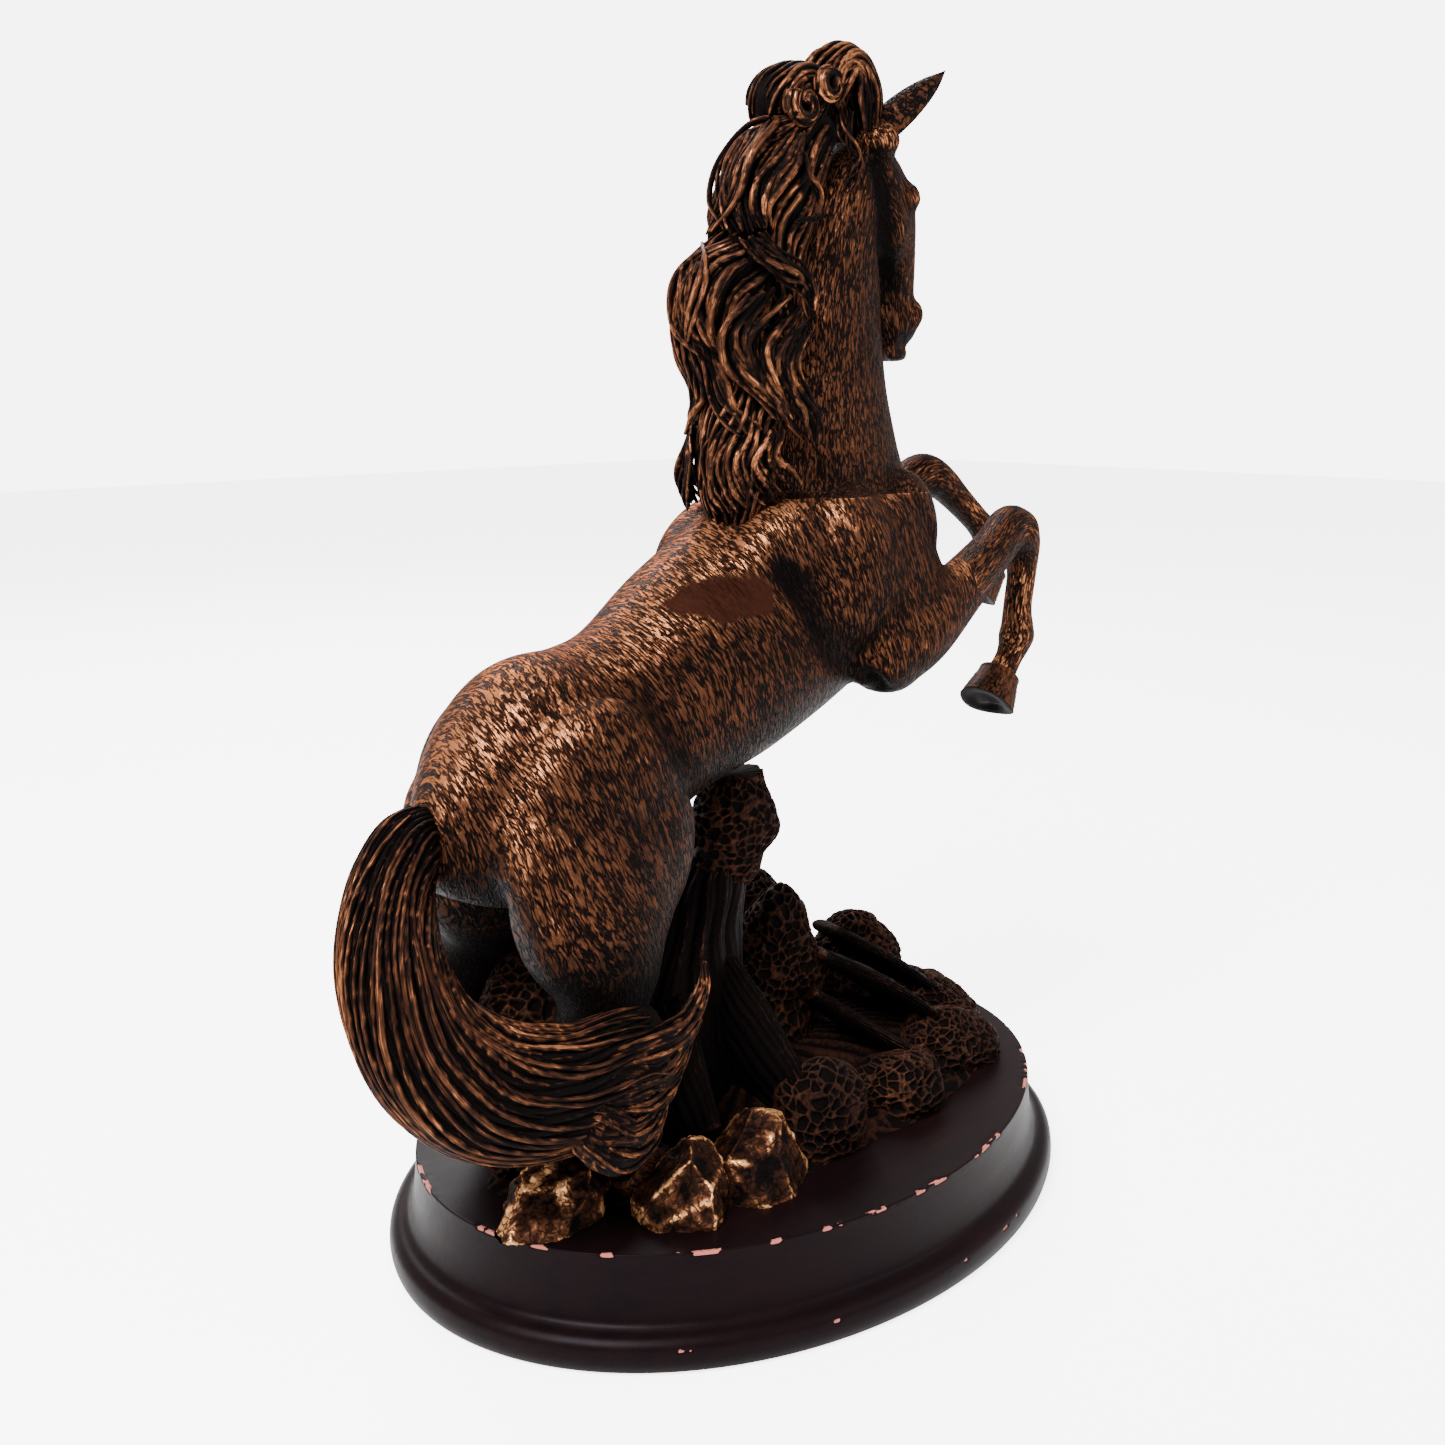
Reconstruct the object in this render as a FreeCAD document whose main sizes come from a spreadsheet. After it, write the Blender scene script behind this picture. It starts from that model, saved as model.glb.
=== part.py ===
import FreeCAD, Part
import Sketcher
import math
import os

# Rearing horse statuette on an oval wooden plinth.
# Frame: origin at the middle of the felt's underside, +X the way the horse faces, +Y its left, +Z up.
# The figure is cast in sections that are pinned and glued together, as a foundry or resin shop does it:
# torso, neck, head, ears, legs, tail, locks of mane, and the wave ground with its foam, rocks and stump.

V = FreeCAD.Vector
doc = FreeCAD.newDocument("horse_statuette")
sheet = doc.addObject("Spreadsheet::Sheet", "dims")
row = 0


def put(alias, value):
    """One driving dimension, in its own cell."""
    global row
    row += 1
    sheet.set("A%d" % row, alias)
    sheet.set("B%d" % row, str(value))
    sheet.setAlias("B%d" % row, alias)


def get(alias):
    return float(sheet.get(alias))


# ---------------------------------------------------------------- driving dimensions, mm
plinth_dims = {
    "plinth_length": 200.0, "plinth_width": 154.0, "plinth_height": 25.5,
    "foot_height": 9.0, "foot_round": 3.6,
    "waist_length": 192.0, "waist_width": 146.5,
    "deck_length": 185.4, "deck_width": 140.4, "deck_round": 0.8,
    "felt_thickness": 1.5, "felt_recess": 1.0, "felt_margin": 7.0, "felt_gap": 0.3,
}
fastener_dims = {
    "screw_diameter": 4.0, "screw_length": 30.0, "screw_head_diameter": 8.0, "screw_head_height": 2.6,
    "screw_hole_gap": 0.25, "screw_head_gap": 0.75, "screw_drive": 2.6, "screw_spacing": 34.0, "screw_offset": 18.0,
    "pin_diameter": 3.0, "pin_gap": 0.05, "thin_pin_diameter": 2.0,
}
figure_dims = {
    "figure_height": 272.5, "seam_gap": 0.0,
}
for group in (plinth_dims, fastener_dims, figure_dims):
    for alias, value in group.items():
        put(alias, value)

# Stations of each cast section: (x, y, z above the plinth, half depth, half width), mm at the
# sculptor's working height below. Depth is in the plane that holds the path and the vertical.
WORKING_HEIGHT = 272.5
stations = {
    "torso": [(-95, 0, 86, 5, 6), (-90, 0, 87, 12, 12), (-79, 0, 91, 23, 21), (-61, 0, 99, 30, 26),
              (-46, 0, 106, 29.5, 26.5), (-32, 0, 113, 28.5, 26.5), (-11, 0, 122, 30, 27),
              (14, 0, 132.5, 31, 25.5), (35, 0, 138.5, 27.5, 22), (48, 0, 141, 19, 16), (56, 0, 141, 8, 8)],
    "neck": [(28, 0, 146, 29, 20.5), (28.5, 0, 160, 29.5, 20), (28, 0, 174, 25.5, 17.5), (29, 0, 190, 20.5, 15),
             (31, 0, 208, 17, 12.5), (34, 0, 224, 14.5, 11), (38, 0, 237, 12, 10), (42, 0, 246, 7, 7)],
    "head": [(38, 0, 247, 5, 6), (44, 0, 241, 11, 9), (50, 0, 231, 13, 9.5), (53.5, 0, 220, 10.5, 8),
             (56, 0, 210, 8, 6), (58, 0, 202, 7, 6), (59, 0, 197, 5.5, 5), (59.3, 0, 194.5, 3, 3)],
    "hind_leg": [(-57, -10, 108, 12, 6), (-60, -14, 100, 19, 10.5), (-63, -20, 90, 24, 13),
                 (-66, -22, 78, 23, 12.5), (-68, -24, 67, 18.5, 11), (-67, -25, 58, 13, 9.5),
                 (-69, -25, 49, 9, 8), (-74, -25, 40, 7, 6), (-77, -25, 33, 7, 5.5), (-73, -25, 25, 4.6, 4.2),
                 (-66, -25, 16.5, 4.4, 4.2), (-62, -25, 12, 5.2, 5), (-58.5, -25, 9, 4.9, 4.6)],
    "shoulder": [(8, -11, 152, 9, 6), (14, -13, 149, 15, 9), (27, -16, 141, 21, 12), (38, -18, 132, 20, 12.5),
                 (33, -21, 120, 14, 10.5), (27, -22, 113, 6, 6)],
    "right_foreleg": [(28, -20, 121, 8, 6), (35, -23, 122.5, 11.5, 8.5), (44, -24.5, 126, 10.5, 8.5),
                      (60, -23.5, 134, 8.2, 7), (76, -22, 143, 6.6, 6), (86, -20.5, 149, 6.4, 6),
                      (92.5, -19.5, 145, 5.8, 5.8), (94.5, -19, 136, 4.7, 4.4), (94.5, -18, 125, 4.4, 4.2),
                      (96, -17, 116.5, 5.2, 4.8), (94, -16, 110, 4, 4), (91, -15, 104.5, 4.9, 4.6)],
    "left_foreleg": [(28, 20, 123, 8, 6), (35, 23.5, 128, 11.5, 8.5), (50, 22, 136, 10, 8), (68, 19, 148, 8, 7),
                     (84, 17, 159, 6.6, 6), (91, 16, 162, 6.4, 6), (98, 15, 159.5, 5.4, 5.2),
                     (107, 14.5, 153, 4.6, 4.4), (116, 14, 146, 4.4, 4.2), (121, 13.5, 141, 5.1, 4.8),
                     (122, 13, 136, 4, 4), (121, 13, 131, 4.9, 4.6)],
    "tail": [(-90, 0, 93, 6, 6), (-97, -1, 91, 8, 7), (-105, -6, 83, 9.5, 8), (-110, -13, 70, 11, 9),
             (-108.5, -22, 55.5, 12.5, 9.5), (-98.5, -30, 45, 14, 9.5), (-84, -36.5, 42.5, 14, 8.5),
             (-70, -40, 46, 12, 7)],
    "tail_tip": [(-70, -40, 46, 12, 7), (-61, -41, 49, 9, 6), (-54, -40, 53, 4.5, 4), (-51.5, -39.5, 55.5, 2, 2)],
    "mane_crest": [(26, -1, 252, 8, 9), (17, 1, 241, 12, 13), (10, 2, 225, 14, 14), (12, 2, 211, 9, 11),
                   (16, 1, 202, 5, 6)],
    "mane_middle": [(12, 0, 222, 7, 8), (1, 1, 215, 12, 12), (-4, 2, 204, 13, 12), (0, 2, 190, 9, 10),
                    (4, 1, 178, 6, 7)],
    "mane_right_lock": [(20, -12, 214, 5, 4), (13, -14, 196, 9, 6), (9, -17, 176, 11, 6), (13, -20, 160, 7, 5),
                        (16, -21, 152, 3, 3)],
    "mane_base": [(5, -2, 190, 7, 9), (-2, -2, 174, 10, 11), (-5, -3, 156, 8, 9), (-6, -3, 146, 5, 6)],
    "poll_curl": [(19, 2, 248, 5, 6), (17, 2, 256, 7, 9), (23, 0, 262, 7, 9), (32, 0, 259, 5, 6)],
    "forelock": [(32, 1, 254, 6, 7), (34, 0, 261, 8, 9), (40, -1, 265, 7.5, 9), (47, -2, 260, 6, 7),
                 (51, -3, 251, 3, 4)],
    "ear": [(47, -8, 248, 3.2, 3.2), (50, -9.5, 253, 5, 3.2), (55, -11, 258, 4.4, 2.6), (61, -12.5, 265, 1, 0.8)],
    "stump": [(-18, -3, 0, 20, 15), (-17, -3, 14, 17, 13), (-16, -3, 34, 13, 10.5), (-13, -4, 52, 10, 9),
              (-10, -4, 64, 9, 9), (-7, -5, 76, 11, 10.5), (-6, -5, 94, 8, 8)],
}
for section, points in stations.items():
    for i, values in enumerate(points):
        for key, value in zip(("x", "y", "z", "depth", "width"), values):
            put("%s_%s_%s" % (section, "abcdefghijklmn"[i], key), value)

# Foam lumps and rocks: centre (x, y, z above the plinth) and radii along X, Y, Z, same working height.
lumps = {
    "foam_crest_far": (34, 28, 20, 15, 13, 29), "foam_crest_near": (17, 2, 24, 14, 13, 29),
    "foam_ridge": (60, 14, 12, 19, 15, 19), "foam_front": (73, -5, 4, 13, 19, 12),
    "foam_toe": (53, -29, 4, 18, 13, 12), "foam_right": (24, -37, 4, 16, 11, 12),
    "foam_near": (-8, -38, 6, 13, 11, 16), "foam_under_rump": (-66, 3, 20, 19, 17, 36),
    "rock_left": (-78, -17, 2, 14, 10, 9), "rock_middle": (-50, -41, 3, 9, 9, 9),
    "rock_right": (-32, -38, 3, 11, 10, 10),
}
for name, values in lumps.items():
    for key, value in zip(("x", "y", "z", "long", "wide", "tall"), values):
        put("%s_%s" % (name, key), value)
for alias, value in {"ground_length": 166.0, "ground_width": 96.0, "ground_height": 12.0,
                     "ground_shift": 4.0, "cap_level": 70.0,
                     "hind_foot_x": -56.0, "hind_foot_y": 25.0, "stud_depth": 10.0, "stud_rise": 10.0,
                     "coronet_width": 9.2, "coronet_depth": 9.8, "hoof_width": 13.0, "hoof_depth": 14.5,
                     "hoof_tall": 9.5}.items():
    put(alias, value)

# Ends of the dowels that hold the castings together, in the same working frame.
pin_ends = {
    "neck_pin": ((28, 0, 146), (28, 0, 182)), "head_pin": ((36, 0, 231), (53, 0, 227)),
    "tail_pin": ((-82, 0, 88), (-101, -2, 90)), "shoulder_pin": ((28, -17, 136), (28, 17, 136)),
    "hip_pin": ((-64, -22, 94), (-64, 22, 94)),
}
for name, (start, end) in pin_ends.items():
    for which, point in (("from", start), ("to", end)):
        for axis, value in zip("xyz", point):
            put("%s_%s_%s" % (name, which, axis), value)
doc.recompute()

scale = get("figure_height") / WORKING_HEIGHT
deck = get("felt_thickness") - get("felt_recess") + get("plinth_height")


# ---------------------------------------------------------------- helpers
def ellipse_sketch(body, name, length, width, lift):
    """A sketch on the body's XY plane: one ellipse about the origin, sized by two expressions."""
    sk = body.newObject("Sketcher::SketchObject", name)
    plane = [f for f in body.Origin.OriginFeatures if f.Role == "XY_Plane"][0]
    sk.AttachmentSupport = [(plane, "")]
    sk.MapMode = "FlatFace"
    sk.setExpression("AttachmentOffset.Base.z", lift)
    sk.addGeometry(Part.Ellipse(V(0, 0, 0), 90, 60), False)
    sk.exposeInternalGeometry(0)
    sk.addConstraint(Sketcher.Constraint("Coincident", 0, 3, -1, 1))
    sk.addConstraint(Sketcher.Constraint("Horizontal", 1))
    long_axis = sk.addConstraint(Sketcher.Constraint("Distance", 1, 180.0))
    short_axis = sk.addConstraint(Sketcher.Constraint("Distance", 2, 120.0))
    sk.renameConstraint(long_axis, "length")
    sk.renameConstraint(short_axis, "width")
    sk.setExpression("Constraints.length", length)
    sk.setExpression("Constraints.width", width)
    return sk


def circle_sketch(body, name, places, diameter, lift="0"):
    """A sketch of equal circles on the body's XY plane. places are pairs of x and y expressions."""
    sk = body.newObject("Sketcher::SketchObject", name)
    plane = [f for f in body.Origin.OriginFeatures if f.Role == "XY_Plane"][0]
    sk.AttachmentSupport = [(plane, "")]
    sk.MapMode = "FlatFace"
    sk.setExpression("AttachmentOffset.Base.z", lift)
    for i, (x, y) in enumerate(places):
        c = sk.addGeometry(Part.Circle(V(20 * i + 5, 7, 0), V(0, 0, 1), 2), False)
        for kind, value, tag in (("DistanceX", x, "x"), ("DistanceY", y, "y")):
            k = sk.addConstraint(Sketcher.Constraint(kind, -1, 1, c, 3, 5.0))
            sk.renameConstraint(k, "%s%d" % (tag, i))
            sk.setExpression("Constraints.%s%d" % (tag, i), value)
        k = sk.addConstraint(Sketcher.Constraint("Diameter", c, 4.0))
        sk.renameConstraint(k, "d%d" % i)
        sk.setExpression("Constraints.d%d" % i, diameter)
    return sk


def pad(body, sk, name, length):
    feature = body.newObject("PartDesign::Pad", name)
    feature.Profile = sk
    feature.setExpression("Length", length)
    return feature


def cut_up(body, sk, name, length):
    """A pocket that runs upwards from its sketch."""
    doc.recompute()
    before = body.Shape.Volume
    feature = body.newObject("PartDesign::Pocket", name)
    feature.Profile = sk
    feature.Reversed = True
    feature.setExpression("Length", length)
    doc.recompute()
    if body.Shape.Volume >= before:
        raise RuntimeError("pocket %s removed nothing" % name)
    return feature


def read_stations(section, mirrored=False):
    """Stations of a cast section from the sheet, at the size asked for, standing on the plinth."""
    found = []
    for i in range(len(stations[section])):
        x, y, z, depth, width = (get("%s_%s_%s" % (section, "abcdefghijklmn"[i], key))
                                 for key in ("x", "y", "z", "depth", "width"))
        side = -1 if mirrored else 1
        found.append((V(x * scale, side * y * scale, deck + z * scale), depth * scale, width * scale))
    return found


def oval_wire(centre, tangent, depth, width):
    """A closed smooth oval across the path: depth lies in the upright plane, width across it."""
    across = V(0, 1, 0) - tangent * tangent.y
    across.normalize()
    upward = across.cross(tangent)
    points = []
    for k in range(12):
        angle = 2 * math.pi * k / 12
        points.append(centre + upward * (depth * math.cos(angle)) + across * (width * math.sin(angle)))
    curve = Part.BSplineCurve()
    curve.interpolate(Points=points, PeriodicFlag=True)
    return Part.Wire([curve.toShape()])


def loft(section, mirrored=False):
    """A solid through the ovals of a section's stations."""
    found = read_stations(section, mirrored)
    wires = []
    for i, (centre, depth, width) in enumerate(found):
        before, after = found[max(i - 1, 0)][0], found[min(i + 1, len(found) - 1)][0]
        tangent = after - before
        tangent.normalize()
        wires.append(oval_wire(centre, tangent, depth, width))
    solid = Part.makeLoft(wires, True, False)
    if solid.Volume < 0:
        solid.reverse()
    return solid


def feature(label, shape):
    """A node whose shape was worked out here."""
    node = doc.addObject("Part::Feature", label)
    node.Shape = shape
    node.Label = label
    node.Placement = shape.Placement
    return node


def biggest(shape):
    """The main solid of a boolean's result: offcuts on the far side of a neighbour are dropped."""
    return max(shape.Solids, key=lambda s: s.Volume)


def without(shape, *others):
    """The shape with its neighbours' space taken away, so that the two meet face to face."""
    for other in others:
        shape = biggest(shape.cut(other))
    return shape


def rod(start, end, diameter):
    return Part.makeCylinder(diameter / 2, (end - start).Length, start, end - start)


def at(x, y, z):
    """A point of the figure at its working size, put where the figure stands."""
    return V(x * scale, y * scale, deck + z * scale)


# ---------------------------------------------------------------- plinth, felt and screws
screw_places = [("dims.screw_offset", "0"),
                ("dims.screw_offset - dims.screw_spacing", "dims.screw_spacing / 2"),
                ("dims.screw_offset - dims.screw_spacing", "-dims.screw_spacing / 2")]
foot_base = "dims.felt_thickness - dims.felt_recess"

plinth = doc.addObject("PartDesign::Body", "plinth")
foot = pad(plinth, ellipse_sketch(plinth, "foot_outline", "dims.plinth_length", "dims.plinth_width", foot_base),
           "foot", "dims.foot_height")
doc.recompute()
rims = ["Edge%d" % (i + 1) for i, e in enumerate(foot.Shape.Edges)
        if e.isClosed() and e.BoundBox.ZLength < 0.01]
bead = plinth.newObject("PartDesign::Fillet", "bead")
bead.Base = (foot, rims)
bead.setExpression("Radius", "dims.foot_round")
doc.recompute()
side = plinth.newObject("PartDesign::AdditiveLoft", "side")
lower = foot_base + " + dims.foot_height"
waist_sketch = ellipse_sketch(plinth, "side_bottom", "dims.waist_length + dims.foot_round",
                              "dims.waist_width + dims.foot_round", lower + " - dims.foot_round / 2")
middle_sketch = ellipse_sketch(plinth, "side_waist", "dims.waist_length", "dims.waist_width",
                               lower + " + dims.foot_round")
deck_sketch = ellipse_sketch(plinth, "deck_outline", "dims.deck_length", "dims.deck_width",
                             foot_base + " + dims.plinth_height")
side.Profile = waist_sketch
side.Sections = [middle_sketch, deck_sketch]
doc.recompute()
top_edges = ["Edge%d" % (i + 1) for i, e in enumerate(side.Shape.Edges)
             if abs(e.BoundBox.ZMin - deck) < 0.01 and e.BoundBox.ZLength < 0.01]
easing = plinth.newObject("PartDesign::Fillet", "deck_easing")
easing.Base = (side, top_edges)
easing.setExpression("Radius", "dims.deck_round")
doc.recompute()
cut_up(plinth, ellipse_sketch(plinth, "felt_outline", "dims.plinth_length - 2 * dims.felt_margin",
                              "dims.plinth_width - 2 * dims.felt_margin", foot_base),
       "felt_seat", "dims.felt_recess")
cut_up(plinth, circle_sketch(plinth, "hole_places", screw_places,
                             "dims.screw_diameter + 2 * dims.screw_hole_gap", foot_base),
       "screw_holes", "dims.plinth_height + 1")
cut_up(plinth, circle_sketch(plinth, "head_places", screw_places,
                             "dims.screw_head_diameter + 2 * dims.screw_head_gap", foot_base),
       "head_pockets", "dims.felt_recess + 2 * dims.screw_head_height")

felt = doc.addObject("PartDesign::Body", "felt_pad")
pad(felt, ellipse_sketch(felt, "felt_edge", "dims.plinth_length - 2 * dims.felt_margin - 2 * dims.felt_gap",
                         "dims.plinth_width - 2 * dims.felt_margin - 2 * dims.felt_gap", "0"),
    "felt_sheet", "dims.felt_thickness")

head_under = "dims.felt_thickness + dims.screw_head_height"
screws = doc.addObject("PartDesign::Body", "base_screws")
screws.AllowCompound = True
pad(screws, circle_sketch(screws, "heads", screw_places, "dims.screw_head_diameter", head_under),
    "screw_heads", "dims.screw_head_height")
pad(screws, circle_sketch(screws, "shanks", screw_places, "dims.screw_diameter",
                          head_under + " + dims.screw_head_height / 2"),
    "screw_shanks", "dims.screw_length")
cut_up(screws, circle_sketch(screws, "drives", screw_places, "dims.screw_drive", head_under),
       "screw_drives", "dims.screw_head_height / 2")

# hind foot studs stand in the plinth and run up inside the hooves
stud_places = [("dims.hind_foot_x * dims.figure_height / %s" % WORKING_HEIGHT, side + "dims.hind_foot_y"
                + " * dims.figure_height / %s" % WORKING_HEIGHT) for side in ("", "-")]
deck_level = foot_base + " + dims.plinth_height"
stud_sketch = circle_sketch(plinth, "stud_places", stud_places, "dims.pin_diameter + 2 * dims.pin_gap",
                            deck_level + " - dims.stud_depth - dims.pin_gap")
cut_up(plinth, stud_sketch, "stud_holes", "dims.stud_depth + 1")
studs = doc.addObject("PartDesign::Body", "hind_foot_studs")
studs.AllowCompound = True
pad(studs, circle_sketch(studs, "stud_rounds", stud_places, "dims.pin_diameter",
                         deck_level + " - dims.stud_depth"), "stud_rods", "dims.stud_depth + dims.stud_rise")
doc.recompute()


def grown(body, gap):
    """The room a body of upright rods needs, its gap included."""
    rooms = []
    for solid in body.Shape.Solids:
        box = solid.BoundBox
        rooms.append(Part.makeCylinder(box.XLength / 2 + gap, box.ZLength + gap,
                                       V(box.Center.x, box.Center.y, box.ZMin - gap / 2)))
    return Part.makeCompound(rooms)


def shank_rooms():
    """The room the three screw shanks need above the plinth."""
    rooms = []
    for solid in screws.Shape.Solids:
        box = solid.BoundBox
        rooms.append(Part.makeCylinder(get("screw_diameter") / 2 + get("pin_gap"), box.ZMax + get("pin_gap") - deck,
                                       V(box.Center.x, box.Center.y, deck)))
    return Part.makeCompound(rooms)


# ---------------------------------------------------------------- pins inside the figure
def pin(label, start, end, diameter):
    """A dowel between two points of the figure, bound to the sheet for its thickness."""
    dowel = doc.addObject("Part::Cylinder", label)
    dowel.setExpression("Radius", diameter + " / 2")
    dowel.Height = (end - start).Length
    dowel.Placement = FreeCAD.Placement(start, FreeCAD.Rotation(V(0, 0, 1), end - start))
    dowel.Label = label
    room = rod(start, end, get(diameter.split(".")[1]) + 2 * get("pin_gap"))
    return room


def pin_between(label, diameter="dims.pin_diameter"):
    """A dowel whose two ends are named points in the sheet."""
    ends = [at(*(get("%s_%s_%s" % (label, end, axis)) for axis in "xyz")) for end in ("from", "to")]
    return pin(label, ends[0], ends[1], diameter)


pins = {label: pin_between(label, "dims.thin_pin_diameter" if label == "head_pin" else "dims.pin_diameter")
        for label in pin_ends}

# ---------------------------------------------------------------- the cast sections
hind_legs = {side: loft("hind_leg", side == "left") for side in ("right", "left")}
forelegs = {side: biggest(loft("shoulder", side == "left").fuse(loft(side + "_foreleg")))
            for side in ("right", "left")}
limbs = list(hind_legs.values()) + list(forelegs.values())
torso = without(loft("torso"), *limbs)
neck = without(loft("neck"), torso, *limbs)
head = without(loft("head"), neck)
mane = {}
for lock in ("mane_crest", "mane_middle", "mane_base", "mane_right_lock", "poll_curl", "forelock"):
    mane[lock] = without(loft(lock), neck, head, torso, *(limbs + list(mane.values())))
ears = {side: without(loft("ear", side == "left"), head, neck, *mane.values()) for side in ("right", "left")}
tail = without(loft("tail"), torso, *hind_legs.values())
tail_tip = without(loft("tail_tip"), tail, *hind_legs.values())


def hoof(label, section, mirrored=False):
    """A hoof: flaring oval block that grows from the end of the leg, along the pastern."""
    body = doc.addObject("PartDesign::Body", label)
    found = read_stations(section, mirrored)
    tip, previous = found[-1][0], found[-2][0]
    along = tip - previous
    along.normalize()
    grow = " * dims.figure_height / %s" % WORKING_HEIGHT
    outlines = []
    for name, wide, deep, lift in (("coronet", "dims.coronet_width", "dims.coronet_depth", "0"),
                                   ("wall", "dims.hoof_width", "dims.hoof_depth", "dims.hoof_tall * 0.6"),
                                   ("sole", "dims.hoof_width * 1.06", "dims.hoof_depth * 1.08", "dims.hoof_tall")):
        outlines.append(ellipse_sketch(body, label + "_" + name, "(" + deep + ")" + grow, "(" + wide + ")" + grow,
                                       "(" + lift + ")" + grow))
    wall = body.newObject("PartDesign::AdditiveLoft", label + "_block")
    wall.Profile = outlines[0]
    wall.Sections = outlines[1:]
    across = V(0, 1, 0) - along * along.y
    across.normalize()
    body.Placement = FreeCAD.Placement(tip, FreeCAD.Rotation(across.cross(along), across, along, "ZXY"))
    doc.recompute()
    return body


hooves = {"right_fore_hoof": hoof("right_fore_hoof", "right_foreleg"),
          "left_fore_hoof": hoof("left_fore_hoof", "left_foreleg")}
hind_hooves = {"right_hind_hoof": hoof("right_hind_block", "hind_leg"),
               "left_hind_hoof": hoof("left_hind_block", "hind_leg", True)}

# ---------------------------------------------------------------- the wave ground
below = Part.makeBox(400, 400, 100, V(-200, -200, deck - 100))
stud_rooms = grown(studs, get("pin_gap"))
shanks = shank_rooms()
feet = {name: without(body.Shape, below, stud_rooms) for name, body in hind_hooves.items()}
stump = without(loft("stump"), torso, shanks)
cap_cut = deck + get("cap_level") * scale
cap_half = Part.makeBox(400, 400, 400, V(-200, -200, cap_cut))
stump_cap = biggest(stump.common(cap_half))
stump = without(stump, cap_half)

standing = [stump] + list(feet.values()) + list(hind_legs.values()) + [stud_rooms, shanks, tail, tail_tip]
grounds = {}
for name in lumps:
    oval = doc.addObject("Part::Ellipsoid", name + "_form")
    for prop, key in (("Radius1", "tall"), ("Radius2", "long"), ("Radius3", "wide")):
        oval.setExpression(prop, "dims.%s_%s * dims.figure_height / %s" % (name, key, WORKING_HEIGHT))
    oval.Placement = FreeCAD.Placement(at(*(get("%s_%s" % (name, axis)) for axis in "xyz")), FreeCAD.Rotation())
    doc.recompute()
    shape = without(oval.Shape, below, *standing)
    grounds[name] = without(shape, *grounds.values())
    doc.removeObject(oval.Name)

wave = doc.addObject("PartDesign::Body", "wave_form")
rings = []
for i, share in enumerate((1.0, 0.93, 0.72)):
    rings.append(ellipse_sketch(wave, "ring_%d" % i, "dims.ground_length * %s" % share,
                                "dims.ground_width * %s" % share,
                                "%s + dims.ground_height * %s" % (deck_level, (0, 0.5, 1)[i])))
swell = wave.newObject("PartDesign::AdditiveLoft", "swell")
swell.Profile = rings[0]
swell.Sections = rings[1:]
wave.setExpression("Placement.Base.x", "dims.ground_shift")
doc.recompute()
ground = without(wave.Shape, *(standing + list(grounds.values())))
doc.removeObject("wave_form")

# ---------------------------------------------------------------- sockets, then one node each
def socketed(shape, *names):
    return without(shape, *(pins[name] for name in names))


feature("torso", socketed(torso, "neck_pin", "tail_pin", "shoulder_pin", "hip_pin"))
feature("neck", socketed(neck, "neck_pin", "head_pin"))
feature("head", socketed(head, "head_pin"))
feature("tail", socketed(tail, "tail_pin"))
feature("tail_tip", tail_tip)
for side in ("right", "left"):
    feature(side + "_foreleg", socketed(forelegs[side], "shoulder_pin"))
    feature(side + "_hind_leg", without(socketed(hind_legs[side], "hip_pin"), stud_rooms))
    feature(side + "_ear", ears[side])
for name, shape in list(mane.items()) + list(feet.items()) + list(grounds.items()):
    feature(name, shape)
feature("stump_support", stump)
feature("stump_cap", stump_cap)
feature("ground_casting", ground)

# ---------------------------------------------------------------- check and write
for body in hind_hooves.values():
    for part_of in body.Group:
        part_of.Visibility = False
doc.recompute()
spare = [b.Name for b in hind_hooves.values()]
bad = [o.Name for o in doc.Objects if "Invalid" in o.State or "Error" in o.State]
if bad:
    raise RuntimeError("these objects did not work out: " + ", ".join(bad))

nodes = [o for o in doc.Objects if o.TypeId in ("PartDesign::Body", "Part::Feature", "Part::Cylinder")
         and o.Name not in spare]
os.makedirs("parts", exist_ok=True)
for node in nodes:
    shape = node.Shape
    if shape.isNull() or not shape.isValid() or not shape.Solids:
        raise RuntimeError("bad shape: " + node.Label)
    shape.exportStep("parts/%s.step" % node.Label)
print(len(nodes), "nodes written")
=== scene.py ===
import math
import bmesh
import bpy
import numpy as np
from mathutils import Matrix, Vector


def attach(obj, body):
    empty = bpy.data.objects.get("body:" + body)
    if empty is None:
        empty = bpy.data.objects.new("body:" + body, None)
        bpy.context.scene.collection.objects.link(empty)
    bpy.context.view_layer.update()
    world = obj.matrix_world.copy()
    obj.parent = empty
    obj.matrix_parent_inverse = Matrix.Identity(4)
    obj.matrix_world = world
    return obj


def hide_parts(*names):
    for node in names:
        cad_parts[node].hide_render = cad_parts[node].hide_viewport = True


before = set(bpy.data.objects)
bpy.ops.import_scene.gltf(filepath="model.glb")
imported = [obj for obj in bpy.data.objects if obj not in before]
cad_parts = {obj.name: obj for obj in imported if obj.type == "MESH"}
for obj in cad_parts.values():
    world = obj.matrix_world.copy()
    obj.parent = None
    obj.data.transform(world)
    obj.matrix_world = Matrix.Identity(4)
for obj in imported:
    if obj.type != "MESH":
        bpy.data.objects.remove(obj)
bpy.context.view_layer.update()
mm = 0.001
deck = 26.0  # height of the plinth's top, mm
tau = 2 * math.pi

# shared mesh helpers


def placed(name, data):
    obj = bpy.data.objects.new(name, data)
    bpy.context.scene.collection.objects.link(obj)
    return obj


def meshFrom(name, points, faces):
    # points in mm, an array of n by 3; faces a list of lists
    mesh = bpy.data.meshes.new(name)
    mesh.from_pydata((np.asarray(points) * mm).tolist(), [], [list(f) for f in faces])
    mesh.update()
    mesh.polygons.foreach_set("use_smooth", [True] * len(mesh.polygons))
    return placed(name, mesh)


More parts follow.
